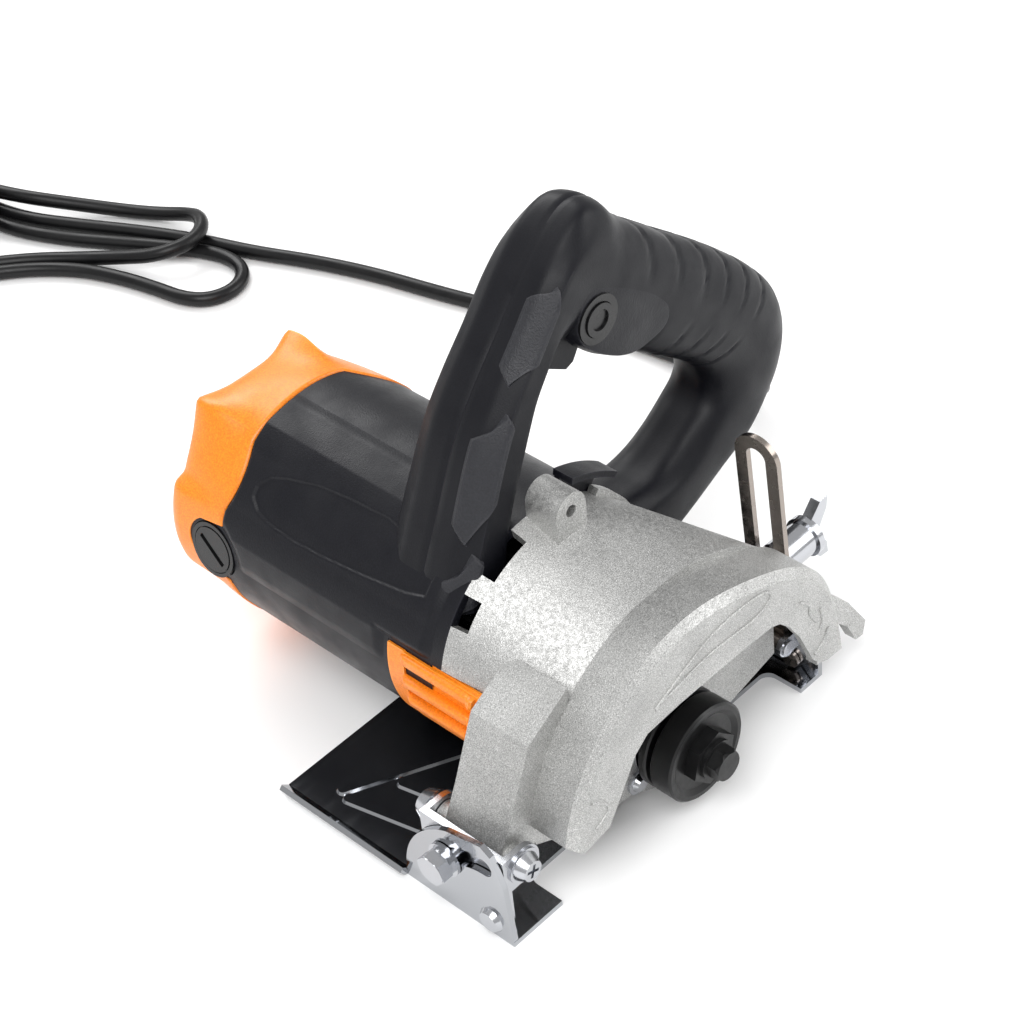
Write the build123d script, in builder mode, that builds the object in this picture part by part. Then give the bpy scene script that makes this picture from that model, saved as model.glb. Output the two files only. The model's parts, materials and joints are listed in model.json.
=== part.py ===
"""Hand-held stone and tile saw for 110 mm blades, shown with no blade fitted.

Millimetres. +X points to the rear, +Y to the motor side, +Z up, and the blade side is -Y.
The origin is the centre of the sole, the underside of the base plate.
"""
from build123d import *
from math import atan2, cos, degrees, radians, sin, tan, pi
import os

os.makedirs("parts", exist_ok=True)

# ---------------------------------------------------------------- driving dimensions
BASE_LENGTH = 149.0
BASE_WIDTH = 102.0
SHEET = 2.0                      # steel sheet of the base plate
FRONT = -BASE_LENGTH / 2
REAR = BASE_LENGTH / 2
BLADE_EDGE = -BASE_WIDTH / 2
MOTOR_EDGE = BASE_WIDTH / 2
CUT_OUT_EDGE = -36.4             # the blade cut-out reaches in to this Y
FRONT_TONGUE = 21.5
REAR_TONGUE = 11.1

BEVEL_Y, BEVEL_Z = -42.0, 6.3    # bevel pivot, along X
LOCK_Y, LOCK_Z = -25.0, 22.3     # bevel lock bolt, along X
LOCK_RADIUS = ((LOCK_Y - BEVEL_Y) ** 2 + (LOCK_Z - BEVEL_Z) ** 2) ** 0.5
LOCK_ANGLE = degrees(atan2(LOCK_Z - BEVEL_Z, LOCK_Y - BEVEL_Y))
LOCK_SWING = 45.0                # the bevel tilts this far
PIVOT_X, PIVOT_Z = -64.0, 26.0   # depth pivot, along Y
FOOT_X, FOOT_Z = 66.0, 14.5      # foot pin of the depth guide, along Y
CLAMP_Y, CLAMP_Z = -32.5, 41.0   # wing bolt of the depth guide, along X

SPINDLE_X, SPINDLE_Z = 7.3, 23.0
MOTOR_X, MOTOR_Z = -2.6, 48.66   # armature axis, along Y
SHELL_X, SHELL_Z = -2.6, 53.3    # axis of the motor housing's shell
SHELL_R = 44.0
SHELL_WALL = 3.2
SHELL_END = 100.0

GEAR_MODULE = 1.25
GEAR_TEETH = 31
PINION_TEETH = 13
GEAR_PITCH_R = GEAR_MODULE * GEAR_TEETH / 2
PINION_PITCH_R = GEAR_MODULE * PINION_TEETH / 2

GUARD_FACE = -59.6               # outer face of the blade guard
GUARD_PLATE = 2.6
GUARD_BACK = -42.0               # the gear case starts behind the guard
GUARD_ROOM_R = 57.5              # room for a 110 mm blade
FLANGE_R = 17.5
BLADE_BORE_R = 10.0
INNER_FLANGE_FACE = -48.6
OUTER_FLANGE_FACE = -50.2

HANDLE_FROM, HANDLE_MID, HANDLE_TO = 3.0, 17.0, 31.0
HANDLE_SKIN = 3.2

BRUSH_Y = 104.8
BRUSH_TILT = 9.2                 # the brush axis rises this much towards the front, degrees

CORD_R = 3.0
GAP = 0.3                        # between faces that move past each other
SHAFT_FIT = 0.05


# ---------------------------------------------------------------- shared shapes
def across(y):
    """The plane at this Y whose sketch axes are X and Z; it faces -Y."""
    return Plane.XZ.offset(-y)


def along(x):
    """The plane at this X whose sketch axes are Y and Z; it faces +X."""
    return Plane.YZ.offset(x)


def prism_y(points, y_from, y_to, mode=Mode.ADD):
    """A straight-sided outline in X and Z, from one Y to another."""
    with BuildSketch(across(y_to)) as outline:
        with BuildLine():
            Polyline(*points, close=True)
        make_face()
    extrude(outline.sketch, amount=y_to - y_from, mode=mode)


def prism_x(points, x_from, x_to, mode=Mode.ADD):
    """A straight-sided outline in Y and Z, from one X to another."""
    with BuildSketch(along(x_from)) as outline:
        with BuildLine():
            Polyline(*points, close=True)
        make_face()
    extrude(outline.sketch, amount=x_to - x_from, mode=mode)


def round_y(x, z, radius, y_from, y_to, mode=Mode.ADD):
    with Locations(Location((x, (y_from + y_to) / 2, z), (90, 0, 0))):
        Cylinder(radius, y_to - y_from, mode=mode)


def round_x(y, z, radius, x_from, x_to, mode=Mode.ADD):
    with Locations(Location(((x_from + x_to) / 2, y, z), (0, 90, 0))):
        Cylinder(radius, x_to - x_from, mode=mode)


def cone_y(x, z, radius_from, radius_to, y_from, y_to, mode=Mode.ADD):
    with Locations(Location((x, (y_from + y_to) / 2, z), (-90, 0, 0))):
        Cone(radius_from, radius_to, y_to - y_from, mode=mode)


def cone_x(y, z, radius_from, radius_to, x_from, x_to, mode=Mode.ADD):
    with Locations(Location(((x_from + x_to) / 2, y, z), (0, 90, 0))):
        Cone(radius_from, radius_to, x_to - x_from, mode=mode)


def hexagon_y(x, z, across_flats, y_from, y_to, turn=0.0, mode=Mode.ADD):
    with BuildSketch(across(y_to)) as outline:
        with Locations((x, z)):
            RegularPolygon(across_flats / 2, 6, major_radius=False, rotation=turn)
    extrude(outline.sketch, amount=y_to - y_from, mode=mode)


def hexagon_x(y, z, across_flats, x_from, x_to, turn=0.0, mode=Mode.ADD):
    with BuildSketch(along(x_from)) as outline:
        with Locations((y, z)):
            RegularPolygon(across_flats / 2, 6, major_radius=False, rotation=turn)
    extrude(outline.sketch, amount=x_to - x_from, mode=mode)


def sector_y(inner, outer, angle_from, angle_to, y_from, y_to, mode=Mode.ADD,
             center=(SHELL_X, SHELL_Z)):
    """A piece of a ring about an axis along Y, between two angles from +X towards +Z."""
    def spot(radius, angle):
        return (center[0] + radius * cos(radians(angle)), center[1] + radius * sin(radians(angle)))

    middle = (angle_from + angle_to) / 2
    with BuildSketch(across(y_to)) as outline:
        with BuildLine():
            ThreePointArc(spot(outer, angle_from), spot(outer, middle), spot(outer, angle_to))
            Line(spot(outer, angle_to), spot(inner, angle_to))
            ThreePointArc(spot(inner, angle_to), spot(inner, middle), spot(inner, angle_from))
            Line(spot(inner, angle_from), spot(outer, angle_from))
        make_face()
    extrude(outline.sketch, amount=y_to - y_from, mode=mode)


def spoke(origin, direction, radius, start, length, mode=Mode.ADD):
    """A cylinder along a direction, from a distance out from the origin."""
    way = Vector(*direction).normalized()
    foot = Vector(*origin) + way * start
    with Locations(Plane(origin=foot, z_dir=way).location):
        Cylinder(radius, length, align=(Align.CENTER, Align.CENTER, Align.MIN), mode=mode)


def ring_y(x, z, outer, inner, y_from, y_to):
    """A plain ring about an axis along Y, such as a bearing or a washer."""
    with BuildPart() as ring:
        round_y(x, z, outer, y_from, y_to)
        round_y(x, z, inner, y_from, y_to, Mode.SUBTRACT)
    return ring


def ball_bearing_y(x, z, bore, outer, y_from, y_to):
    """A shielded ball bearing in one piece: two rings joined by a thinner shield."""
    with BuildPart() as bearing:
        round_y(x, z, outer, y_from, y_to)
        round_y(x, z, bore, y_from, y_to, Mode.SUBTRACT)
        band = (outer - bore) * 0.28
        for groove_from, groove_to in ((y_from, y_from + 0.5), (y_to - 0.5, y_to)):
            with BuildSketch(across(groove_to)) as groove:
                with Locations((x, z)):
                    Circle(outer - band)
                    Circle(bore + band, mode=Mode.SUBTRACT)
            extrude(groove.sketch, amount=groove_to - groove_from, mode=Mode.SUBTRACT)
    return bearing


def spur_gear(x, z, teeth, bore, y_from, y_to, first_angle):
    """Straight teeth with sloping flanks; first_angle points the middle of one tooth."""
    pitch = GEAR_MODULE * teeth / 2
    tip = pitch + 0.8 * GEAR_MODULE
    root = pitch - 1.1 * GEAR_MODULE
    step = 2 * pi / teeth
    with BuildPart() as gear:
        points = []
        for tooth in range(teeth):
            middle = radians(first_angle) + tooth * step
            for radius, share in ((root, -0.36), (tip, -0.12), (tip, 0.12), (root, 0.36)):
                angle = middle + share * step
                points.append((x + radius * cos(angle), z + radius * sin(angle)))
        prism_y(points, y_from, y_to)
        round_y(x, z, bore, y_from, y_to, Mode.SUBTRACT)
    return gear


def write(piece, name):
    piece.part.label = name
    export_step(piece.part, f"parts/{name}.step")


# ---------------------------------------------------------------- base plate and its rivets
LIP_Y = -4.8                     # the front lip starts here
NOTCH_X = (-14.0, 29.0)          # room for the gear case behind the cut-out
NOTCH_Y = -1.0

with BuildPart() as base_plate:
    with BuildSketch(Plane.XY) as sole:
        with BuildLine():
            Polyline(
                (FRONT, BLADE_EDGE), (FRONT + FRONT_TONGUE, BLADE_EDGE),
                (FRONT + FRONT_TONGUE, CUT_OUT_EDGE), (NOTCH_X[0], CUT_OUT_EDGE),
                (NOTCH_X[0], NOTCH_Y), (NOTCH_X[1], NOTCH_Y), (NOTCH_X[1], CUT_OUT_EDGE),
                (REAR - REAR_TONGUE, CUT_OUT_EDGE), (REAR - REAR_TONGUE, BLADE_EDGE),
                (REAR, BLADE_EDGE), (REAR, MOTOR_EDGE), (FRONT, MOTOR_EDGE), close=True)
        make_face()
        fillet(sole.vertices().sort_by(Axis.Y)[4:8], 4)
    extrude(amount=SHEET)
    # front upright with the arc slot of the bevel lock
    with BuildSketch(along(FRONT)) as front_upright:
        with BuildLine():
            Polyline((-5, 0), (BLADE_EDGE, 0), (-49, 25), (-44.8, 36), (-41, 38.5), (-26, 35))
            ThreePointArc((-26, 35), (-12.3, 24), (-5, 3))
            Line((-5, 3), (-5, 0))
        make_face()
        with BuildLine() as arc_slot:
            outer_arc = CenterArc((BEVEL_Y, BEVEL_Z), LOCK_RADIUS + 3.5, LOCK_ANGLE, LOCK_SWING)
            inner_arc = CenterArc((BEVEL_Y, BEVEL_Z), LOCK_RADIUS - 3.5, LOCK_ANGLE, LOCK_SWING)
            SagittaArc(inner_arc @ 0, outer_arc @ 0, -3.5)
            SagittaArc(outer_arc @ 1, inner_arc @ 1, -3.5)
        make_face(arc_slot.edges(), mode=Mode.SUBTRACT)
        with Locations((BEVEL_Y, BEVEL_Z)):
            Circle(2.5, mode=Mode.SUBTRACT)
    extrude(amount=SHEET)
    # rear upright
    with BuildSketch(along(REAR - SHEET)) as rear_upright:
        with BuildLine():
            Polyline((-6, 0), (BLADE_EDGE, 0), (BLADE_EDGE, 14), (-48, 25), (-41, 29.5), (-28, 28))
            ThreePointArc((-28, 28), (-14, 17), (-6, 3))
            Line((-6, 3), (-6, 0))
        make_face()
        with Locations((BEVEL_Y, BEVEL_Z)):
            Circle(2.5, mode=Mode.SUBTRACT)
    extrude(amount=SHEET)
    # lip along the front edge
    prism_y([(FRONT, 0), (FRONT + 1.2, SHEET), (FRONT - 1.6, 4.2), (FRONT - 2.8, 2.8), (FRONT - 1.2, 0.6)],
            LIP_Y, MOTOR_EDGE)
    # pressed stiffening ribs on the motor side
    for rib in (((-66, 36), (-24, 15)), ((-66, 33), (-59, 2)), ((-50, 24), (-44, -4))):
        (x_a, y_a), (x_b, y_b) = rib
        turn = degrees(atan2(y_b - y_a, x_b - x_a))
        with BuildSketch(Plane.XY.offset(SHEET)):
            with Locations(Location(((x_a + x_b) / 2, (y_a + y_b) / 2, 0), (0, 0, turn))):
                SlotOverall(Vector(x_b - x_a, y_b - y_a).length, 4.6)
        extrude(amount=0.9, taper=35)
write(base_plate, "base_plate")

BRACKET_FROM, BRACKET_TO = FRONT + SHEET + GAP, FRONT + SHEET + GAP + 2.5
REAR_PLATE_FROM, REAR_PLATE_TO = 70.1, 72.1

with BuildPart() as front_bevel_rivet:
    cone_x(BEVEL_Y, BEVEL_Z, 3.6, 4.6, FRONT - 1.7, FRONT)
    round_x(BEVEL_Y, BEVEL_Z, 2.5, FRONT, BRACKET_TO + GAP)
    round_x(BEVEL_Y, BEVEL_Z, 3.8, BRACKET_TO + GAP, BRACKET_TO + GAP + 1.2)
write(front_bevel_rivet, "front_bevel_rivet")

with BuildPart() as rear_bevel_rivet:
    cone_x(BEVEL_Y, BEVEL_Z, 4.6, 3.6, REAR, REAR + 1.7)
    round_x(BEVEL_Y, BEVEL_Z, 2.5, REAR_PLATE_FROM - GAP, REAR)
    round_x(BEVEL_Y, BEVEL_Z, 3.4, REAR_PLATE_FROM - GAP - 1.2, REAR_PLATE_FROM - GAP)
write(rear_bevel_rivet, "rear_bevel_rivet")

# ---------------------------------------------------------------- tilt frame
EAR = 2.0                        # thickness of the bracket ears
BLADE_EAR, MOTOR_EAR = -47.5, -14.5
EAR_R = 7.0
PIVOT_SCREW_R = 2.5


BEVEL_ROOM = 5.5                 # the brackets' lower corners are cut back to clear the base at full tilt


def cut_for_bevel(x_from, x_to):
    """Cuts the corner of a tilt bracket that would meet the base as it tilts."""
    prism_x([(BEVEL_Y - BEVEL_ROOM - 10, BEVEL_Z + 10), (BEVEL_Y - BEVEL_ROOM + 10, BEVEL_Z - 10),
             (BEVEL_Y - BEVEL_ROOM - 10, BEVEL_Z - 10)], x_from, x_to, Mode.SUBTRACT)


def ear(y_from):
    """A bracket ear: a rounded plate about the depth pivot, back to the bracket's plate."""
    prism_y([(BRACKET_FROM, PIVOT_Z - EAR_R), (PIVOT_X, PIVOT_Z - EAR_R),
             (PIVOT_X, PIVOT_Z + EAR_R), (BRACKET_FROM, PIVOT_Z + EAR_R)], y_from, y_from + EAR)
    round_y(PIVOT_X, PIVOT_Z, EAR_R, y_from, y_from + EAR)
    round_y(PIVOT_X, PIVOT_Z, PIVOT_SCREW_R, y_from, y_from + EAR, Mode.SUBTRACT)


with BuildPart() as front_tilt_bracket:
    prism_x([(BLADE_EAR, 3), (-34, 3), (MOTOR_EAR + EAR, 15), (MOTOR_EAR + EAR, PIVOT_Z + EAR_R),
             (BLADE_EAR, PIVOT_Z + EAR_R)], BRACKET_FROM, BRACKET_TO)
    round_x(BEVEL_Y, BEVEL_Z, 2.5 + SHAFT_FIT, BRACKET_FROM, BRACKET_TO, Mode.SUBTRACT)
    round_x(LOCK_Y, LOCK_Z, 3.0, BRACKET_FROM, BRACKET_TO, Mode.SUBTRACT)
    cut_for_bevel(BRACKET_FROM, BRACKET_TO)
    ear(BLADE_EAR)
    ear(MOTOR_EAR)
write(front_tilt_bracket, "front_tilt_bracket")

WASHER_FACE = FRONT - GAP

with BuildPart() as bevel_lock_bolt:
    hexagon_x(LOCK_Y, LOCK_Z, 10.0, WASHER_FACE - 2.8 - 4.2, WASHER_FACE - 2.8, 12)
    cone_x(LOCK_Y, LOCK_Z, 4.9, 6.3, WASHER_FACE - 2.8 - 5.0, WASHER_FACE - 2.8, Mode.INTERSECT)
    hexagon_x(LOCK_Y, LOCK_Z, 10.0, WASHER_FACE - 2.8 - 4.0, WASHER_FACE - 2.8, 12)
    round_x(LOCK_Y, LOCK_Z, 3.0, WASHER_FACE - 2.8, BRACKET_TO)
write(bevel_lock_bolt, "bevel_lock_bolt")

with BuildPart() as bevel_lock_washers:
    round_x(LOCK_Y, LOCK_Z, 6.2, WASHER_FACE - 1.2, WASHER_FACE)
    round_x(LOCK_Y, LOCK_Z, 5.0, WASHER_FACE - 2.8, WASHER_FACE - 1.2)
    round_x(LOCK_Y, LOCK_Z, 3.0, WASHER_FACE - 2.8, WASHER_FACE, Mode.SUBTRACT)
write(bevel_lock_washers, "bevel_lock_washers")

with BuildPart() as depth_pivot_screw:
    round_y(PIVOT_X, PIVOT_Z, 6.2, BLADE_EAR - 0.8, BLADE_EAR)
    cone_y(PIVOT_X, PIVOT_Z, 3.6, 5.2, BLADE_EAR - 4.2, BLADE_EAR - 0.8)
    round_y(PIVOT_X, PIVOT_Z, PIVOT_SCREW_R, BLADE_EAR, MOTOR_EAR + EAR + 5.0)
    for turn in (20, 110):
        with Locations(Location((PIVOT_X, BLADE_EAR - 4.2, PIVOT_Z), (0, turn, 0))):
            Box(5.0, 3.0, 1.1, mode=Mode.SUBTRACT)
write(depth_pivot_screw, "depth_pivot_screw")

with BuildPart() as depth_pivot_nut:
    round_y(PIVOT_X, PIVOT_Z, 5.2, MOTOR_EAR + EAR, MOTOR_EAR + EAR + 1.6)
    cone_y(PIVOT_X, PIVOT_Z, 6.4, 4.4, MOTOR_EAR + EAR + 1.6, MOTOR_EAR + EAR + 6.4)
    round_y(PIVOT_X, PIVOT_Z, PIVOT_SCREW_R, MOTOR_EAR + EAR, MOTOR_EAR + EAR + 5.0, Mode.SUBTRACT)
    with Locations((PIVOT_X, MOTOR_EAR + EAR + 6.4, PIVOT_Z)):
        Box(14, 1.6, 1.4, mode=Mode.SUBTRACT)
write(depth_pivot_nut, "depth_pivot_nut")

GUIDE_Y = (CLAMP_Y - 8.5, CLAMP_Y + 8.5)
FOOT_EARS = (GUIDE_Y[0] - GAP - EAR, GUIDE_Y[1] + GAP)
PLATE_TOP = 18.0

with BuildPart() as rear_tilt_bracket:
    prism_x([(-49, 2.6), (-9, 2.6), (-9, 8), (-20, PLATE_TOP), (-48, PLATE_TOP), (-49, 12)],
            REAR_PLATE_FROM, REAR_PLATE_TO)
    cut_for_bevel(REAR_PLATE_FROM, REAR_PLATE_TO)
    round_x(BEVEL_Y, BEVEL_Z, 2.5 + SHAFT_FIT, REAR_PLATE_FROM, REAR_PLATE_TO, Mode.SUBTRACT)
    for y_from in FOOT_EARS:
        prism_y([(FOOT_X, FOOT_Z - 3.6), (REAR_PLATE_FROM, FOOT_Z - 3.6),
                 (REAR_PLATE_FROM, FOOT_Z + 3.6), (FOOT_X, FOOT_Z + 3.6)], y_from, y_from + EAR)
        round_y(FOOT_X, FOOT_Z, 3.6, y_from, y_from + EAR)
        round_y(FOOT_X, FOOT_Z, 1.8, y_from, y_from + EAR, Mode.SUBTRACT)
write(rear_tilt_bracket, "rear_tilt_bracket")

with BuildPart() as guide_foot_pin:
    round_y(FOOT_X, FOOT_Z, 1.8, FOOT_EARS[0], FOOT_EARS[1] + EAR)
    round_y(FOOT_X, FOOT_Z, 2.9, FOOT_EARS[0] - 1.0, FOOT_EARS[0])
    round_y(FOOT_X, FOOT_Z, 2.9, FOOT_EARS[1] + EAR, FOOT_EARS[1] + EAR + 1.0)
write(guide_foot_pin, "guide_foot_pin")

# ---------------------------------------------------------------- depth guide
GUIDE_LEAN = 0.0762              # the strip leans forward this much per mm of height
GUIDE_TOP_Z = 90.5               # centre of its rounded top
GUIDE_HALF = 1.0
SLOT_HALF = 3.8


def guide_x(z):
    """Middle of the strip at this height."""
    return 70.0 - GUIDE_LEAN * (z - 50.0)


with BuildPart() as depth_guide:
    bend_z, top_z = 34.0, GUIDE_TOP_Z + 12
    prism_y([(FOOT_X + 1.4, FOOT_Z), (FOOT_X + 3.2, FOOT_Z), (FOOT_X + 3.2, 19.0),
             (guide_x(bend_z) + GUIDE_HALF, bend_z), (guide_x(top_z) + GUIDE_HALF, top_z),
             (guide_x(top_z) - GUIDE_HALF, top_z), (guide_x(bend_z) - GUIDE_HALF, bend_z),
             (FOOT_X + 1.4, 20.0)], *GUIDE_Y)
    with BuildSketch(along(50)) as face_view:
        with Locations((CLAMP_Y, GUIDE_TOP_Z)):
            Circle(8.5)
        with Locations((CLAMP_Y, GUIDE_TOP_Z / 2)):
            Rectangle(17, GUIDE_TOP_Z)
    extrude(face_view.sketch, amount=40, mode=Mode.INTERSECT)
    with BuildSketch(along(50)) as slot:
        with BuildLine():
            Line((CLAMP_Y - SLOT_HALF, 36), (CLAMP_Y - SLOT_HALF, GUIDE_TOP_Z))
            ThreePointArc((CLAMP_Y - SLOT_HALF, GUIDE_TOP_Z), (CLAMP_Y, GUIDE_TOP_Z + SLOT_HALF),
                          (CLAMP_Y + SLOT_HALF, GUIDE_TOP_Z))
            Line((CLAMP_Y + SLOT_HALF, GUIDE_TOP_Z), (CLAMP_Y + SLOT_HALF, 36))
            ThreePointArc((CLAMP_Y + SLOT_HALF, 36), (CLAMP_Y, 36 - SLOT_HALF), (CLAMP_Y - SLOT_HALF, 36))
        make_face()
    extrude(slot.sketch, amount=40, mode=Mode.SUBTRACT)
    round_y(FOOT_X, FOOT_Z, 3.4, *GUIDE_Y)
    round_y(FOOT_X, FOOT_Z, 1.8 + SHAFT_FIT, *GUIDE_Y, Mode.SUBTRACT)
write(depth_guide, "depth_guide")

# ---------------------------------------------------------------- gear housing with the blade guard
CASE_X, CASE_Z, CASE_R = 11.0, 19.5, 64.0    # the round face behind the guard
CASE_WALL = 3.5
CASE_REAR = 61.0                 # cut back here, clear of the depth guide
GEAR_ROOM_R = GEAR_PITCH_R + 0.8 * GEAR_MODULE + 0.5
MAIN_BEARING_R = 14.0
MAIN_BEARING_Y = (-41.0, -33.0)
BOSS_R = 5.0
CLAMP_FACE = 67.9


def case_section(y, inset):
    """Centre and radius of the gear case's round section at this Y."""
    share = y / GUARD_BACK
    return (SHELL_X + (CASE_X - SHELL_X) * share, SHELL_Z + (CASE_Z - SHELL_Z) * share,
            SHELL_R + (CASE_R - SHELL_R) * share - inset)


def case_loft(y_from, y_to, inset):
    ends = []
    for y in (y_from, y_to):
        x, z, radius = case_section(y, inset)
        with BuildSketch(across(y)) as end:
            with Locations((x, z)):
                Circle(radius)
        ends.append(end.sketch.face())
    loft(ends)


def case_side_view(inset):
    """What the case keeps in side view: flat front and rear, a belly round the gear."""
    belly = GEAR_ROOM_R + 1.6 - inset * 1.6 / CASE_WALL
    reach = belly * 0.7071
    with BuildSketch(across(0)) as view:
        with BuildLine():
            Polyline((SPINDLE_X + reach, SPINDLE_Z - reach), (34, 9 + inset), (CASE_REAR - inset, 15 + inset),
                     (CASE_REAR - inset, 120), (-58 + inset, 120), (-58 + inset, 24 + inset),
                     (-30, 9 + inset), (SPINDLE_X - reach, SPINDLE_Z - reach))
            ThreePointArc((SPINDLE_X - reach, SPINDLE_Z - reach), (SPINDLE_X, SPINDLE_Z - belly),
                          (SPINDLE_X + reach, SPINDLE_Z - reach))
        make_face()
    extrude(view.sketch, amount=-GUARD_BACK, mode=Mode.INTERSECT)


with BuildPart() as case_block:
    case_loft(GUARD_BACK, 0, 0)
    case_side_view(0)

with BuildPart() as case_room:
    case_loft(GUARD_BACK + 4, 0, CASE_WALL)
    case_side_view(CASE_WALL)

GUARD_FOOT = [(77.2, 15.2), (64, 16), (-36, 26), (-49.5, 27), (-54.6, 31.6)]

with BuildPart() as guard_block:
    with BuildSketch(across(GUARD_BACK)):
        with BuildLine():
            Spline((-54.6, 31.6), (-41.6, 60), (-5, 82.7), (34, 76.5), (65.7, 56), (73.6, 37), (77.2, 15.2))
            Polyline(*GUARD_FOOT)
        make_face()
    extrude(amount=GUARD_BACK - GUARD_FACE)
    face_edges = guard_block.faces().sort_by(Axis.Y)[0].edges()
    chamfer(face_edges.filter_by(GeomType.BSPLINE), 2.8)

with BuildPart() as gear_housing:
    add(case_block.part)
    # arm down to the depth pivot
    prism_y([(-68.4, 28.4), (-62, 41), (-52, 64), (-34, 74), (-34, 30), (-47, 25), (-61, 21.1)], -42.5, -19)
    round_y(PIVOT_X, PIVOT_Z, BOSS_R, BLADE_EAR + EAR + GAP, MOTOR_EAR - GAP)
    add(case_room.part, mode=Mode.SUBTRACT)
    add(guard_block.part)
    round_y(SPINDLE_X, SPINDLE_Z, GUARD_ROOM_R, GUARD_FACE + GUARD_PLATE, GUARD_BACK, Mode.SUBTRACT)
    # open side of the guard's face
    prism_y([(-58, 31), (-49.5, 27), (-38, 29), (-32.7, 37), (-24.7, 49.4), (-19, 53.7), (-4, 54.6),
             (24, 54.4), (39.4, 53.6), (43.4, 52), (48, 47), (53, 39), (56.4, 31), (59.4, 24), (62.7, 20),
             (66.8, 18.3), (80, 17.6), (80, 0), (-58, 0)], GUARD_FACE - 1, GUARD_FACE + GUARD_PLATE,
            Mode.SUBTRACT)
    # room for the rear upright and the rear tilt bracket
    prism_y([(CASE_REAR, -1), (95, -1), (95, 36), (CASE_REAR, 36)], -52.5, 0, Mode.SUBTRACT)
    # lug behind the guard
    prism_y([(70, 44), (81, 31.5), (90, 17), (88.6, 11.6), (84.8, 12), (80.6, 21), (72, 30)], -57, -52.5)
    # boss for the guide's wing bolt
    round_x(CLAMP_Y, CLAMP_Z, 7, CASE_REAR - 8, CLAMP_FACE - 1.4)
    cone_x(CLAMP_Y, CLAMP_Z, 7, 5.4, CLAMP_FACE - 1.4, CLAMP_FACE)
    # seat of the main spindle bearing
    round_y(SPINDLE_X, SPINDLE_Z, MAIN_BEARING_R + 3, GUARD_BACK, MAIN_BEARING_Y[1] + 1.2)
    round_y(SPINDLE_X, SPINDLE_Z, MAIN_BEARING_R, GUARD_BACK, MAIN_BEARING_Y[1], Mode.SUBTRACT)
    round_y(SPINDLE_X, SPINDLE_Z, 11, MAIN_BEARING_Y[1], MAIN_BEARING_Y[1] + 2, Mode.SUBTRACT)
    # screw boss over the seam and the rail beside it
    round_y(3, 102, 6.5, -13, 0)
    prism_y([(-3.5, 92), (9.5, 92), (9.5, 102), (-3.5, 102)], -13, 0)
    sector_y(SHELL_R - 1, SHELL_R + 2.4, 18, 54, -3.6, 0)
    round_y(3, 102, 2.1, -13, 0, Mode.SUBTRACT)
    # windows in the seam and the pocket of the vent insert
    sector_y(SHELL_R - 8, SHELL_R + 3, 100, 122, -5.8, 0, Mode.SUBTRACT)
    sector_y(SHELL_R - 8, SHELL_R + 3, 132, 146, -5.8, 0, Mode.SUBTRACT)
    sector_y(SHELL_R - 1.9, SHELL_R + 12, 166, 210, -17, 0, Mode.SUBTRACT)
    # bores
    round_y(PIVOT_X, PIVOT_Z, PIVOT_SCREW_R + SHAFT_FIT, -50, -10, Mode.SUBTRACT)
    round_x(CLAMP_Y, CLAMP_Z, 3.05, CASE_REAR - 10, CLAMP_FACE, Mode.SUBTRACT)
    for turn in (38, 128, 218, 308):
        screw_x = SPINDLE_X + 19 * cos(radians(turn))
        screw_z = SPINDLE_Z + 19 * sin(radians(turn))
        round_y(screw_x, screw_z, 1.5, GUARD_BACK, GUARD_BACK + 4, Mode.SUBTRACT)
write(gear_housing, "gear_housing")
print("gear housing solids", len(gear_housing.part.solids()), "valid", gear_housing.part.is_valid)

with BuildPart() as bearing_retainer:
    round_y(SPINDLE_X, SPINDLE_Z, 15.6, GUARD_BACK - 1.2, GUARD_BACK)
    for turn in (38, 218):
        ear_x = SPINDLE_X + 19 * cos(radians(turn))
        ear_z = SPINDLE_Z + 19 * sin(radians(turn))
        round_y(ear_x, ear_z, 4.2, GUARD_BACK - 1.2, GUARD_BACK)
    round_y(SPINDLE_X, SPINDLE_Z, 12.2, GUARD_BACK - 1.2, GUARD_BACK, Mode.SUBTRACT)
    for turn in (38, 218):
        ear_x = SPINDLE_X + 19 * cos(radians(turn))
        ear_z = SPINDLE_Z + 19 * sin(radians(turn))
        round_y(ear_x, ear_z, 1.5, GUARD_BACK - 1.2, GUARD_BACK, Mode.SUBTRACT)
write(bearing_retainer, "bearing_retainer")

with BuildPart() as retainer_screws:
    for turn in (38, 218):
        head_x = SPINDLE_X + 19 * cos(radians(turn))
        head_z = SPINDLE_Z + 19 * sin(radians(turn))
        round_y(head_x, head_z, 1.5, GUARD_BACK - 1.2, GUARD_BACK + 4)
        cone_y(head_x, head_z, 2.2, 3.0, GUARD_BACK - 2.8, GUARD_BACK - 1.2)
write(retainer_screws, "retainer_screws")

# ---------------------------------------------------------------- bearings and their plate
PLATE_X, PLATE_Z, PLATE_R = -1.0, 49.6, 41.0
REAR_BEARING_Y = (-13.5, -8.5)
ARMATURE_BEARING_Y = (-13.0, -6.0)
TAIL_BEARING_Y = (112.0, 118.0)

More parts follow.
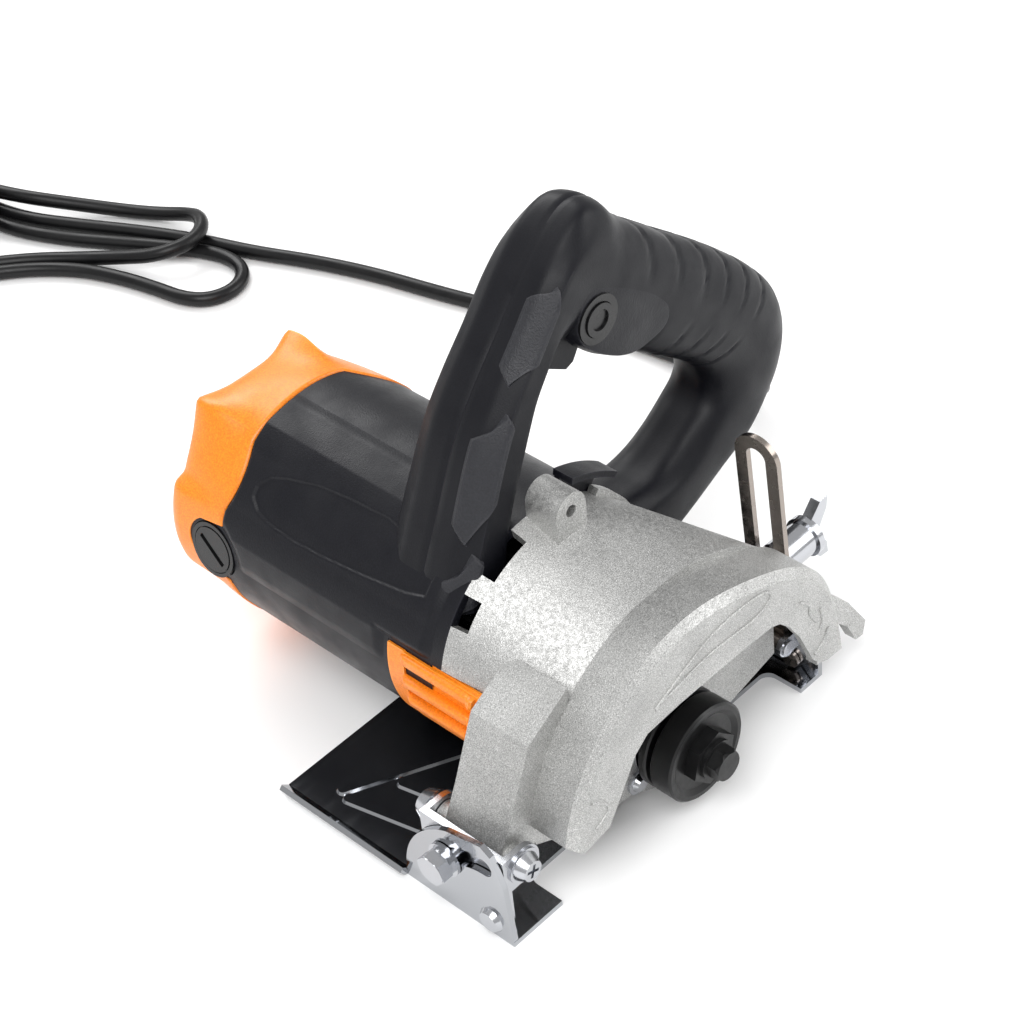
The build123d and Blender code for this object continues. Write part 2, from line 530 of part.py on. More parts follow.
with BuildPart() as bearing_plate:
    round_y(PLATE_X, PLATE_Z, PLATE_R, -7, -4)
    round_y(SPINDLE_X, SPINDLE_Z, 10.6, -14, -4)
    round_y(MOTOR_X, MOTOR_Z, 14, -13.4, -4)
    round_y(SPINDLE_X, SPINDLE_Z, 8, -14, REAR_BEARING_Y[1], Mode.SUBTRACT)
    round_y(SPINDLE_X, SPINDLE_Z, 5.5, REAR_BEARING_Y[1], -5.5, Mode.SUBTRACT)
    round_y(MOTOR_X, MOTOR_Z, 11, -13.4, ARMATURE_BEARING_Y[1], Mode.SUBTRACT)
    round_y(MOTOR_X, MOTOR_Z, 6, ARMATURE_BEARING_Y[1], -4, Mode.SUBTRACT)
    for turn in (20, 60, 100, 140, 180, 220):
        round_y(PLATE_X + 29 * cos(radians(turn)), PLATE_Z + 29 * sin(radians(turn)), 5, -7, -4,
                Mode.SUBTRACT)
write(bearing_plate, "bearing_plate")

main_spindle_bearing = ball_bearing_y(SPINDLE_X, SPINDLE_Z, 6, MAIN_BEARING_R, *MAIN_BEARING_Y)
write(main_spindle_bearing, "main_spindle_bearing")
rear_spindle_bearing = ball_bearing_y(SPINDLE_X, SPINDLE_Z, 4, 8, *REAR_BEARING_Y)
write(rear_spindle_bearing, "rear_spindle_bearing")
front_armature_bearing = ball_bearing_y(MOTOR_X, MOTOR_Z, 4, 11, *ARMATURE_BEARING_Y)
write(front_armature_bearing, "front_armature_bearing")
tail_armature_bearing = ball_bearing_y(MOTOR_X, MOTOR_Z, 3.5, 9.5, *TAIL_BEARING_Y)
write(tail_armature_bearing, "tail_armature_bearing")

# ---------------------------------------------------------------- spindle and blade clamp
with BuildPart() as spindle:
    round_y(SPINDLE_X, SPINDLE_Z, 6 - SHAFT_FIT, -49.5, -30)
    round_y(SPINDLE_X, SPINDLE_Z, 7, -32.6, -27.5)
    round_y(SPINDLE_X, SPINDLE_Z, 5.5, -27.5, -16)
    round_y(SPINDLE_X, SPINDLE_Z, 4 - SHAFT_FIT, -16, -7)
    round_y(SPINDLE_X, SPINDLE_Z, 3.1, -49.5, -34, Mode.SUBTRACT)
    with Locations((SPINDLE_X, -22, SPINDLE_Z + 5.5)):
        Box(2.4, 7, 3.0, mode=Mode.SUBTRACT)
write(spindle, "spindle")

with BuildPart() as spindle_key:
    with Locations((SPINDLE_X, -22, SPINDLE_Z + 5.5)):
        Box(2.4, 7, 3.0)
write(spindle_key, "spindle_key")

GEAR_Y = (-27.0, -17.0)
MESH_ANGLE = degrees(atan2(MOTOR_Z - SPINDLE_Z, MOTOR_X - SPINDLE_X))

gear_wheel = spur_gear(SPINDLE_X, SPINDLE_Z, GEAR_TEETH, 5.5, *GEAR_Y, MESH_ANGLE + 180 / GEAR_TEETH)
with gear_wheel:
    with Locations((SPINDLE_X, -22, SPINDLE_Z + 5.5)):
        Box(2.4, 7, 3.0, mode=Mode.SUBTRACT)
    for turn in range(0, 360, 60):
        round_y(SPINDLE_X + 12 * cos(radians(turn)), SPINDLE_Z + 12 * sin(radians(turn)), 2.6, *GEAR_Y,
                Mode.SUBTRACT)
write(gear_wheel, "gear_wheel")

with BuildPart() as inner_flange:
    round_y(SPINDLE_X, SPINDLE_Z, FLANGE_R, INNER_FLANGE_FACE, INNER_FLANGE_FACE + 3.2)
    round_y(SPINDLE_X, SPINDLE_Z, BLADE_BORE_R, INNER_FLANGE_FACE - 2.8, INNER_FLANGE_FACE)
    round_y(SPINDLE_X, SPINDLE_Z, 9.5, INNER_FLANGE_FACE + 3.2, MAIN_BEARING_Y[0] - 0.4)
    round_y(SPINDLE_X, SPINDLE_Z, 6 - SHAFT_FIT, -49.5, -41, Mode.SUBTRACT)
    round_y(SPINDLE_X, SPINDLE_Z, 3.1, -52, -49.5, Mode.SUBTRACT)
    ring_edges = inner_flange.edges().filter_by(GeomType.CIRCLE)
    chamfer(ring_edges.filter_by(lambda edge: abs(edge.radius - FLANGE_R) < 0.01), 0.6)
write(inner_flange, "inner_flange")

OUTER_RIM = -58.9
HEX_FACE = -62.2
BOLT_FACE = -63.6

with BuildPart() as outer_flange:
    round_y(SPINDLE_X, SPINDLE_Z, FLANGE_R, OUTER_RIM, OUTER_FLANGE_FACE)
    chamfer(outer_flange.edges().filter_by(GeomType.CIRCLE), 0.7)
    cone_y(SPINDLE_X, SPINDLE_Z, 15.2, 13.4, OUTER_RIM, OUTER_RIM + 1.2, Mode.SUBTRACT)
    hexagon_y(SPINDLE_X, SPINDLE_Z, 17.0, HEX_FACE, OUTER_RIM + 1.2, 15)
    round_y(SPINDLE_X, SPINDLE_Z, BLADE_BORE_R + 0.8, OUTER_FLANGE_FACE - 1.6, OUTER_FLANGE_FACE,
            Mode.SUBTRACT)
    round_y(SPINDLE_X, SPINDLE_Z, 3.1, HEX_FACE, OUTER_FLANGE_FACE, Mode.SUBTRACT)
write(outer_flange, "outer_flange")

with BuildPart() as flange_washer:
    round_y(SPINDLE_X, SPINDLE_Z, 7.0, BOLT_FACE, HEX_FACE)
    round_y(SPINDLE_X, SPINDLE_Z, 3.1, BOLT_FACE, HEX_FACE, Mode.SUBTRACT)
write(flange_washer, "flange_washer")

with BuildPart() as arbor_bolt:
    hexagon_y(SPINDLE_X, SPINDLE_Z, 10.0, BOLT_FACE - 4.4, BOLT_FACE, 40)
    cone_y(SPINDLE_X, SPINDLE_Z, 5.0, 6.6, BOLT_FACE - 4.6, BOLT_FACE, Mode.INTERSECT)
    hexagon_y(SPINDLE_X, SPINDLE_Z, 10.0, BOLT_FACE - 3.4, BOLT_FACE, 40)
    round_y(SPINDLE_X, SPINDLE_Z, 3.0, BOLT_FACE, -36)
write(arbor_bolt, "arbor_bolt")

# ---------------------------------------------------------------- armature
CORE_Y = (30.0, 78.0)
CORE_R = 21.0
COMMUTATOR_Y = (96.0, 111.0)

with BuildPart() as armature_shaft:
    round_y(MOTOR_X, MOTOR_Z, 3.4, -28, -14)
    round_y(MOTOR_X, MOTOR_Z, 4 - SHAFT_FIT, -14, 0)
    round_y(MOTOR_X, MOTOR_Z, 5, 0, 111.5)
    round_y(MOTOR_X, MOTOR_Z, 3.5 - SHAFT_FIT, 111.5, 118)
write(armature_shaft, "armature_shaft")

pinion = spur_gear(MOTOR_X, MOTOR_Z, PINION_TEETH, 3.4, -27.6, -16.4, MESH_ANGLE + 180)
write(pinion, "pinion")

with BuildPart() as cooling_fan:
    round_y(MOTOR_X, MOTOR_Z, 34, 11, 12.5)
    round_y(MOTOR_X, MOTOR_Z, 8, 3, 12.5)
    for blade in range(17):
        turn = blade * 360 / 17
        with Locations(Location((MOTOR_X, 7.25, MOTOR_Z), (0, turn, 0))):
            with Locations(Location((24, 0, 0), (0, 28, 0))):
                Box(20, 7.5, 1.3)
    round_y(MOTOR_X, MOTOR_Z, 5, 3, 12.5, Mode.SUBTRACT)
    round_y(MOTOR_X, MOTOR_Z, 35, 2, 13.5, Mode.INTERSECT)
write(cooling_fan, "cooling_fan")

with BuildPart() as armature_core:
    round_y(MOTOR_X, MOTOR_Z, CORE_R, *CORE_Y)
    for slot in range(12):
        turn = radians(slot * 30)
        slot_x, slot_z = MOTOR_X + 18 * cos(turn), MOTOR_Z + 18 * sin(turn)
        with Locations(Location((slot_x, (CORE_Y[0] + CORE_Y[1]) / 2, slot_z), (0, -slot * 30, 0))):
            Box(7, CORE_Y[1] - CORE_Y[0], 2.4, mode=Mode.SUBTRACT)
    round_y(MOTOR_X, MOTOR_Z, 5, *CORE_Y, Mode.SUBTRACT)
write(armature_core, "armature_core")

with BuildPart() as armature_windings:
    cone_y(MOTOR_X, MOTOR_Z, 14, 19.5, CORE_Y[0] - 9, CORE_Y[0])
    cone_y(MOTOR_X, MOTOR_Z, 19.5, 13, CORE_Y[1], CORE_Y[1] + 12)
    for slot in range(12):
        turn = radians(slot * 30)
        slot_x, slot_z = MOTOR_X + 17 * cos(turn), MOTOR_Z + 17 * sin(turn)
        with Locations(Location((slot_x, (CORE_Y[0] + CORE_Y[1]) / 2, slot_z), (0, -slot * 30, 0))):
            Box(4.4, CORE_Y[1] - CORE_Y[0], 2.0)
    round_y(MOTOR_X, MOTOR_Z, 5, CORE_Y[0] - 9, CORE_Y[1] + 12, Mode.SUBTRACT)
write(armature_windings, "armature_windings")

with BuildPart() as commutator:
    round_y(MOTOR_X, MOTOR_Z, 12, *COMMUTATOR_Y)
    for bar in range(24):
        turn = radians(bar * 15)
        gap_x, gap_z = MOTOR_X + 12 * cos(turn), MOTOR_Z + 12 * sin(turn)
        with Locations(Location((gap_x, (COMMUTATOR_Y[0] + COMMUTATOR_Y[1]) / 2, gap_z), (0, -bar * 15, 0))):
            Box(2.0, COMMUTATOR_Y[1] - COMMUTATOR_Y[0], 0.5, mode=Mode.SUBTRACT)
    round_y(MOTOR_X, MOTOR_Z, 5, *COMMUTATOR_Y, Mode.SUBTRACT)
write(commutator, "commutator")

# ---------------------------------------------------------------- stator
with BuildPart() as stator_core:
    round_y(MOTOR_X, MOTOR_Z, 35, *CORE_Y)
    round_y(MOTOR_X, MOTOR_Z, CORE_R + 0.5, *CORE_Y, Mode.SUBTRACT)
    for side in (0, 90, 180, 270):
        with Locations(Location((MOTOR_X, (CORE_Y[0] + CORE_Y[1]) / 2, MOTOR_Z), (0, side + 45, 0))):
            with Locations((27, 0, 0)):
                Box(8, CORE_Y[1] - CORE_Y[0], 14, mode=Mode.SUBTRACT)
write(stator_core, "stator_core")

with BuildPart() as field_coils:
    for side in (0, 90, 180, 270):
        with Locations(Location((MOTOR_X, (CORE_Y[0] + CORE_Y[1]) / 2, MOTOR_Z), (0, side + 45, 0))):
            with Locations((27, 0, 0)):
                Box(7, CORE_Y[1] - CORE_Y[0] + 14, 13)
write(field_coils, "field_coils")

# ---------------------------------------------------------------- motor housing and its end cap
BARREL_R = 38.6
BARREL_END = 121.0
TONGUE_R = 14.4
BRUSH_FOOT = (MOTOR_X, BRUSH_Y, MOTOR_Z)
BRUSH_WAYS = ((-cos(radians(BRUSH_TILT)), 0, sin(radians(BRUSH_TILT))),
              (cos(radians(BRUSH_TILT)), 0, -sin(radians(BRUSH_TILT))))
CAP_LOBES = ((138, 122.0, 25.0), (40, 114.0, 24.0), (222, 120.0, 22.0), (300, 116.0, 24.0))


def ahead_of_seam(gap):
    """Everything ahead of the scalloped seam: cap lobes cut into it, brush tongues reach past it."""
    with BuildPart() as side:
        round_y(SHELL_X, SHELL_Z, 60, -2, SHELL_END - gap)
        for angle, y, radius in CAP_LOBES:
            way = (cos(radians(angle)), 0, sin(radians(angle)))
            spoke((SHELL_X, y, SHELL_Z), way, radius + gap, 22, 60, Mode.SUBTRACT)
        for way in BRUSH_WAYS:
            spoke(BRUSH_FOOT, way, TONGUE_R - gap, 26, 34)
    return side.part


with BuildPart() as motor_housing:
    round_y(SHELL_X, SHELL_Z, SHELL_R, 0, BARREL_END)
    add(ahead_of_seam(GAP), mode=Mode.INTERSECT)
    round_y(SHELL_X, SHELL_Z, BARREL_R, 80, BARREL_END)
    round_y(SHELL_X, SHELL_Z, SHELL_R - SHELL_WALL, 0, 86, Mode.SUBTRACT)
    round_y(SHELL_X, SHELL_Z, BARREL_R - SHELL_WALL, 86, BARREL_END - 2.4, Mode.SUBTRACT)
    # tail bearing seat
    round_y(MOTOR_X, MOTOR_Z, 12.5, TAIL_BEARING_Y[0], BARREL_END)
    round_y(MOTOR_X, MOTOR_Z, 9.5, *TAIL_BEARING_Y, Mode.SUBTRACT)
    for turn in range(0, 360, 45):
        round_y(SHELL_X + 25 * cos(radians(turn)), SHELL_Z + 25 * sin(radians(turn)), 5.5, 118, BARREL_END,
                Mode.SUBTRACT)
    # fan baffle and the two saddles that hold the stator
    with BuildSketch(across(18)) as baffle:
        with Locations((SHELL_X, SHELL_Z)):
            Circle(SHELL_R - 1)
        with Locations((MOTOR_X, MOTOR_Z)):
            Circle(27, mode=Mode.SUBTRACT)
    extrude(baffle.sketch, amount=2)
    with BuildSketch(across(CORE_Y[1] - 4)) as saddle:
        with Locations((SHELL_X, SHELL_Z)):
            Circle(SHELL_R - 1)
        with Locations((MOTOR_X, MOTOR_Z)):
            Circle(35, mode=Mode.SUBTRACT)
            Rectangle(50, 120, mode=Mode.SUBTRACT)
    extrude(saddle.sketch, amount=30)
    # flange lip over the gear housing
    sector_y(SHELL_R + 7.2, SHELL_R + 9.4, 50, 74, -5.6, 2.4)
    sector_y(SHELL_R - 1, SHELL_R + 9.4, 52, 73, 0.4, 2.4)
    # pocket and slots of the vent insert
    sector_y(SHELL_R - 1.9, SHELL_R + 4, 166, 210, 0, 23, Mode.SUBTRACT)
    for angle in (176, 188, 200):
        sector_y(SHELL_R - 6, SHELL_R + 4, angle - 3, angle + 3, 3, 15, Mode.SUBTRACT)
    # bores for the brush holders and seats for the brush caps
    for way in BRUSH_WAYS:
        spoke(BRUSH_FOOT, way, 7.6, 26, 30, Mode.SUBTRACT)
        spoke(BRUSH_FOOT, way, 10.3, 40.8, 15, Mode.SUBTRACT)
write(motor_housing, "motor_housing")

CAP_END = 127.0
CAP_WALL = 2.6
CAP_INSIDE = SHELL_R - 3.6
HORNS = (117, 52, 236)

with BuildPart() as motor_end_cap:
    with BuildSketch(Plane.YZ.offset(SHELL_X)) as half_section:
        with BuildLine():
            Polyline((84, SHELL_Z + SHELL_R), (112, SHELL_Z + SHELL_R + 0.4), (120, SHELL_Z + SHELL_R - 0.4))
            ThreePointArc((120, SHELL_Z + SHELL_R - 0.4), (125, SHELL_Z + SHELL_R - 3),
                          (CAP_END, SHELL_Z + SHELL_R - 8))
            Polyline((CAP_END, SHELL_Z + SHELL_R - 8), (CAP_END, SHELL_Z), (CAP_END - CAP_WALL, SHELL_Z),
                     (CAP_END - CAP_WALL, SHELL_Z + 36), (121, SHELL_Z + CAP_INSIDE),
                     (84, SHELL_Z + CAP_INSIDE), (84, SHELL_Z + SHELL_R))
        make_face()
    revolve(half_section.sketch, axis=Axis((SHELL_X, 0, SHELL_Z), (0, 1, 0)))
    add(ahead_of_seam(0), mode=Mode.SUBTRACT)
    # horns that stand proud of the round cap
    for angle in HORNS:
        way = Vector(cos(radians(angle)), 0, sin(radians(angle)))
        side_on = Plane(origin=Vector(SHELL_X, 0, SHELL_Z), x_dir=way, z_dir=way.cross(Vector(0, 1, 0)))
        with BuildSketch(side_on.offset(-6)) as horn:
            with BuildLine():
                Polyline((CAP_INSIDE + 1, 106), (SHELL_R + 0.2, 106), (SHELL_R + 2.4, 132), (SHELL_R - 8, 128),
                         (SHELL_R - 8, 125), (CAP_INSIDE + 1, 121), close=True)
            make_face()
        extrude(horn.sketch, amount=12, taper=0)
    # louvres in the end wall
    for row in range(5):
        with Locations((SHELL_X, CAP_END - 1, SHELL_Z - 16 + row * 8)):
            Box(44 - abs(row - 2) * 7, 8, 3.2, mode=Mode.SUBTRACT)
write(motor_end_cap, "motor_end_cap")

with BuildPart() as vent_insert:
    sector_y(SHELL_R - 1.7, SHELL_R - 0.6, 167, 209, -16.6, 22.6)
    sector_y(SHELL_R - 1.7, SHELL_R + 0.7, 167, 209, 15.5, 22.6)
    for angle in (170, 182, 194, 206):
        sector_y(SHELL_R - 1.0, SHELL_R + 0.9, angle - 2.6, angle + 2.6, -16.6, 16)
    for angle in (176, 188, 200):
        sector_y(SHELL_R - 3, SHELL_R + 2, angle - 2.2, angle + 2.2, 3.5, 14.5, Mode.SUBTRACT)
write(vent_insert, "vent_insert")

# ---------------------------------------------------------------- brushes
BRUSH_NAMES = ("front", "rear")
for name, way in zip(BRUSH_NAMES, BRUSH_WAYS):
    with BuildPart() as brush_cap:
        spoke(BRUSH_FOOT, way, 10.0, 40.9, 4.2)
        spoke(BRUSH_FOOT, way, 7.4, 37.0, 4.2)
        spoke(BRUSH_FOOT, way, 8.6, 44.5, 1.0, Mode.SUBTRACT)
        spoke(BRUSH_FOOT, way, 8.2, 44.4, 0.9)
        tilted = Plane(origin=Vector(*BRUSH_FOOT) + Vector(*way) * 45.2, x_dir=(0, 0.8, 0.6), z_dir=way)
        with Locations(tilted.location):
            Box(13, 2.0, 2.0, mode=Mode.SUBTRACT)
    write(brush_cap, f"{name}_brush_cap")

with BuildPart() as brush_holders:
    for way in BRUSH_WAYS:
        spoke(BRUSH_FOOT, way, 7.3, 14.5, 22)
        spoke(BRUSH_FOOT, way, 4.6, 14, 30, Mode.SUBTRACT)
write(brush_holders, "brush_holders")

with BuildPart() as carbon_brushes:
    for way in BRUSH_WAYS:
        spoke(BRUSH_FOOT, way, 4.2, 12.3, 12)
write(carbon_brushes, "carbon_brushes")

with BuildPart() as brush_springs:
    for way in BRUSH_WAYS:
        spoke(BRUSH_FOOT, way, 3.6, 24.4, 12.4)
        spoke(BRUSH_FOOT, way, 2.4, 24.4, 12.4, Mode.SUBTRACT)
write(brush_springs, "brush_springs")

# ---------------------------------------------------------------- housing screws
with BuildPart() as housing_screw:
    round_y(3, 102, 2.1, -7.5, 0)
write(housing_screw, "housing_screw")

# ---------------------------------------------------------------- strain relief of the cord
GLAND_ROOT = (117.0, 21.5, 62.0)
GLAND_WAY = Vector(0.70, 0.30, -0.65).normalized()
GLAND_LENGTH = 36.0
GLAND_END = Vector(*GLAND_ROOT) + GLAND_WAY * GLAND_LENGTH

with BuildPart() as strain_relief:
    with Locations(Plane(origin=GLAND_ROOT, z_dir=GLAND_WAY).location):
        Cylinder(7.5, 5, align=(Align.CENTER, Align.CENTER, Align.MIN))
        with Locations((0, 0, 5)):
            Cone(5.6, 3.9, GLAND_LENGTH - 5, align=(Align.CENTER, Align.CENTER, Align.MIN))
write(strain_relief, "strain_relief")

# ---------------------------------------------------------------- handle
UNDER_X, UNDER_Z = 28.0, 138.6   # a point on the underside of the grip
UNDER_SLOPE = -33.0              # the underside falls to the rear


def grip_point(along_grip, into_grip):
    """A point in side view, measured along the underside and up into the grip."""
    slope = radians(UNDER_SLOPE)
    return (UNDER_X + along_grip * cos(slope) - into_grip * sin(slope),
            UNDER_Z + along_grip * sin(slope) + into_grip * cos(slope))


HANDLE_OUTLINE = [(-37, 76), (-33.4, 84.7), (-14.3, 126.5), (2, 146.5), (21.1, 168.6), (30.7, 177.5),
                  (41.8, 182.6), (50.5, 179), (58, 167), (93, 138), (118, 115), (128.5, 102), (132, 88),
                  (130, 75), (116, 55), (91, 46), (81, 37), (60, 28), (30, 30), (0, 60)]
HANDLE_OPENING = [(-8, 88), (-7.5, 98), (5.5, 123), (14, 138), (22, 142.5), (48, 125.6), (63.5, 111.8),
                  (82, 97), (91, 87), (91, 78), (84, 71), (63, 60), (40, 62), (20, 70)]
GRIP_ROOM = [(20, 150), (31, 163), (44, 168), (54, 162), (90, 132), (113, 111), (122, 98), (124, 84),
             (114, 70), (100, 66), (99, 90), (70, 115), (48, 130.5), (25, 145.5)]
LEG_ROOM = [(-22, 96), (-8, 123), (10, 147), (14, 146), (-2, 122), (-12, 100)]
TRIGGER_Y = (11.2, 22.8)
BUTTON_X, BUTTON_Z = 37.0, 146.4
HANDLE_SCREWS = ((-10, 113), (27, 165), (112, 88), (92, 59))


def handle_half(y_from, y_to, mid_is_to):
    """One half shell of the handle; its open side is at the parting plane."""
    room_from = y_from + HANDLE_SKIN if mid_is_to else y_from
    room_to = y_to if mid_is_to else y_to - HANDLE_SKIN
    with BuildPart() as half:
        with BuildSketch(across(y_to)) as side_view:
            with BuildLine():
                Polyline(*HANDLE_OUTLINE, close=True)
            make_face()
            with BuildLine() as opening_line:
                Polyline(*HANDLE_OPENING, close=True)
            make_face(opening_line.edges(), mode=Mode.SUBTRACT)
        extrude(side_view.sketch, amount=y_to - y_from)
        outer_face = half.faces().sort_by(Axis.Y)[0 if mid_is_to else -1]
        chamfer(outer_face.edges(), 4.0)
        round_y(SHELL_X, SHELL_Z, SHELL_R, y_from - 1, y_to + 1, Mode.SUBTRACT)
        prism_y(GRIP_ROOM, room_from, room_to, Mode.SUBTRACT)
        prism_y(LEG_ROOM, room_from, room_to, Mode.SUBTRACT)
        for x, z in HANDLE_SCREWS:
            round_y(x, z, 4.4, room_from, room_to)
            round_y(x, z, 1.8, HANDLE_MID - 8, HANDLE_TO - 4.4, Mode.SUBTRACT)
            round_y(x, z, 3.4, HANDLE_TO - 4.4, HANDLE_TO, Mode.SUBTRACT)
        add(strain_relief.part, mode=Mode.SUBTRACT)
        # slot of the trigger
        slot = [grip_point(-10.5, -12), grip_point(10.5, -12), grip_point(10.5, 9), grip_point(-10.5, 9)]
        prism_y(slot, max(y_from, TRIGGER_Y[0] - GAP), min(y_to, TRIGGER_Y[1] + GAP), Mode.SUBTRACT)
        if mid_is_to:
            round_y(BUTTON_X, BUTTON_Z, 8.5, y_from, room_from, Mode.SUBTRACT)
    return half


handle_blade_side = handle_half(HANDLE_FROM, HANDLE_MID, True)
handle_motor_side = handle_half(HANDLE_MID, HANDLE_TO, False)
write(handle_blade_side, "handle_blade_side")
write(handle_motor_side, "handle_motor_side")

with BuildPart() as trigger:
    blade = [grip_point(-9.8, 3.5), grip_point(-9.8, -6.5), grip_point(-8, -8.2), grip_point(7.6, -8.2),
             grip_point(9.8, -5.5), grip_point(9.8, 3.5)]
    prism_y(blade, *TRIGGER_Y)
write(trigger, "trigger")

with BuildPart() as lock_bezel:
    round_y(BUTTON_X, BUTTON_Z, 8.4, HANDLE_FROM - 0.6, HANDLE_FROM + HANDLE_SKIN)
    round_y(BUTTON_X, BUTTON_Z, 6.0, HANDLE_FROM - 0.6, HANDLE_FROM + HANDLE_SKIN, Mode.SUBTRACT)
write(lock_bezel, "lock_bezel")

with BuildPart() as lock_button:
    round_y(BUTTON_X, BUTTON_Z, 5.7, HANDLE_FROM - 1.2, HANDLE_FROM + 4.6)
    round_y(BUTTON_X, BUTTON_Z, 3.6, HANDLE_FROM - 1.2, HANDLE_FROM - 0.4, Mode.SUBTRACT)
write(lock_button, "lock_button")

with BuildPart() as switch_module:
    body = [grip_point(-6, 9), grip_point(24, 9), grip_point(24, 24), grip_point(-6, 24)]
    prism_y(body, 13.4, 27)
write(switch_module, "switch_module")

with BuildPart() as handle_screws:
    for x, z in HANDLE_SCREWS:
        round_y(x, z, 1.8, HANDLE_MID - 8, HANDLE_TO - 4.4)
        round_y(x, z, 3.4, HANDLE_TO - 4.4, HANDLE_TO - 2)
write(handle_screws, "handle_screws")

# ---------------------------------------------------------------- wing bolt of the depth guide
SLEEVE_FROM, SLEEVE_TO = 73.1, 89.0

with BuildPart() as wing_bolt:
    round_x(CLAMP_Y, CLAMP_Z, 3.0, CASE_REAR - 8, SLEEVE_TO)
    cone_x(CLAMP_Y, CLAMP_Z, 4.8, 6.2, SLEEVE_FROM, SLEEVE_FROM + 1.4)
    round_x(CLAMP_Y, CLAMP_Z, 6.2, SLEEVE_FROM + 1.4, SLEEVE_TO)
    round_x(CLAMP_Y, CLAMP_Z, 7.2, SLEEVE_TO - 0.5, SLEEVE_TO + 2)
    for side in (1, -1):
        wing = [(SLEEVE_TO + 1, CLAMP_Z + side * 0.5), (SLEEVE_TO + 1, CLAMP_Z + side * 6.5),
                (SLEEVE_TO + 6, CLAMP_Z + side * 12), (SLEEVE_TO + 10, CLAMP_Z + side * 12.4),
                (SLEEVE_TO + 9.4, CLAMP_Z + side * 7.5), (SLEEVE_TO + 5, CLAMP_Z + side * 0.5)]
        prism_y(wing, CLAMP_Y - 1.9, CLAMP_Y + 1.9)
write(wing_bolt, "wing_bolt")

# ---------------------------------------------------------------- cord
HANK_HEIGHT = 12.4
HANK_HALF = 28.0
HANK_NEAR = (97.0, 290.0)        # centre of the rounded end of the loops
COIL_CENTER = (36.0, 409.0)
COIL_R = 39.5
COIL_HEIGHT = 18.6

CORD_LEAD = GLAND_END + GLAND_WAY * 22
CORD_ROUTE = [tuple(GLAND_END), tuple(CORD_LEAD), (168.5, 60.0, 11.5),
              (171.5, 86.0, 4.4), (169.0, 114.0, 3.2), (162.5, 141.0, 3.2), (153.0, 168.0, 3.2),
              (145.0, 197.0, 3.2), (138.5, 226.0, 3.2), (129.5, 253.0, 3.2), (119.0, 277.0, 3.2)]


def bend_radii(points):
    """The largest tangent arc that both runs at each corner allow."""
    radii = []
    for before, corner, after in zip(points, points[1:], points[2:]):
        run_in = Vector(*corner) - Vector(*before)
        run_out = Vector(*after) - Vector(*corner)
        half_turn = radians(run_in.get_angle(run_out)) / 2
        radii.append(0.45 * min(run_in.length, run_out.length) / tan(half_turn))
    return radii


cord_radii = bend_radii(CORD_ROUTE)
print("cord radii, mm:", [round(radius) for radius in cord_radii])
with BuildPart() as power_cord:
    with BuildLine() as route:
        FilletPolyline(*CORD_ROUTE, radius=cord_radii)
    first_run = Vector(*CORD_ROUTE[1]) - Vector(*CORD_ROUTE[0])
    with BuildSketch(Plane(origin=CORD_ROUTE[0], z_dir=first_run)):
        Circle(CORD_R)
    sweep(path=route.wires()[0])
print("cord length", round(route.wires()[0].length, 1), "volume ratio",
      round(power_cord.part.volume / (pi * CORD_R ** 2 * route.wires()[0].length), 4))
write(power_cord, "power_cord")

HANK_WAY = Vector(HANK_NEAR[0] - COIL_CENTER[0], HANK_NEAR[1] - COIL_CENTER[1])
HANK_TURN = degrees(atan2(HANK_WAY.Y, HANK_WAY.X))
COIL_HOLE_R = 26.5

with BuildPart() as cord_hank:
    middle = (Vector(*HANK_NEAR) + Vector(*COIL_CENTER)) / 2
    with BuildSketch(Plane.XY):
        with Locations(Location((middle.X, middle.Y, 0), (0, 0, HANK_TURN))):
            SlotCenterToCenter(HANK_WAY.length, 2 * HANK_HALF)
    extrude(amount=HANK_HEIGHT)
    with BuildSketch(Plane.XY):
        with Locations(COIL_CENTER):
            Circle(COIL_R)
    extrude(amount=COIL_HEIGHT)
    with Locations((COIL_CENTER[0], COIL_CENTER[1], 0)):
        Cylinder(COIL_HOLE_R, 60, mode=Mode.SUBTRACT)
write(cord_hank, "cord_hank")

# the tie goes over the coil on its front side
TIE_TURN = 195.0
with BuildPart() as cord_tie:
    with Locations(Location((COIL_CENTER[0], COIL_CENTER[1], 0), (0, 0, TIE_TURN))):
        with Locations((0, 0, (COIL_HEIGHT + 1.2) / 2)):
            Cylinder(COIL_R + 1.2, COIL_HEIGHT + 1.2)
            Cylinder(COIL_HOLE_R - 1.2, COIL_HEIGHT + 1.2, mode=Mode.SUBTRACT)
        with Locations((COIL_R, 0, 15)):
            Box(60, 9, 40, mode=Mode.INTERSECT)
    add(cord_hank.part, mode=Mode.SUBTRACT)
write(cord_tie, "cord_tie")

# the cord's end leaves the top turn on a tighter arc inside it, a quarter turn before the plug's boot
CORD_END_R = 24.0
PLUG_BOOT = 35.0                 # from the boot's end to the plug's middle
PLUG_CENTER = (COIL_CENTER[0] + COIL_R - CORD_R - CORD_END_R - PLUG_BOOT,
               COIL_CENTER[1] + CORD_END_R, COIL_HEIGHT + 8.0)
PLUG_PLANE = Plane(origin=PLUG_CENTER, x_dir=(-1, 0, 0), z_dir=(0, 0, 1))
PIN_SPACING = 19.0

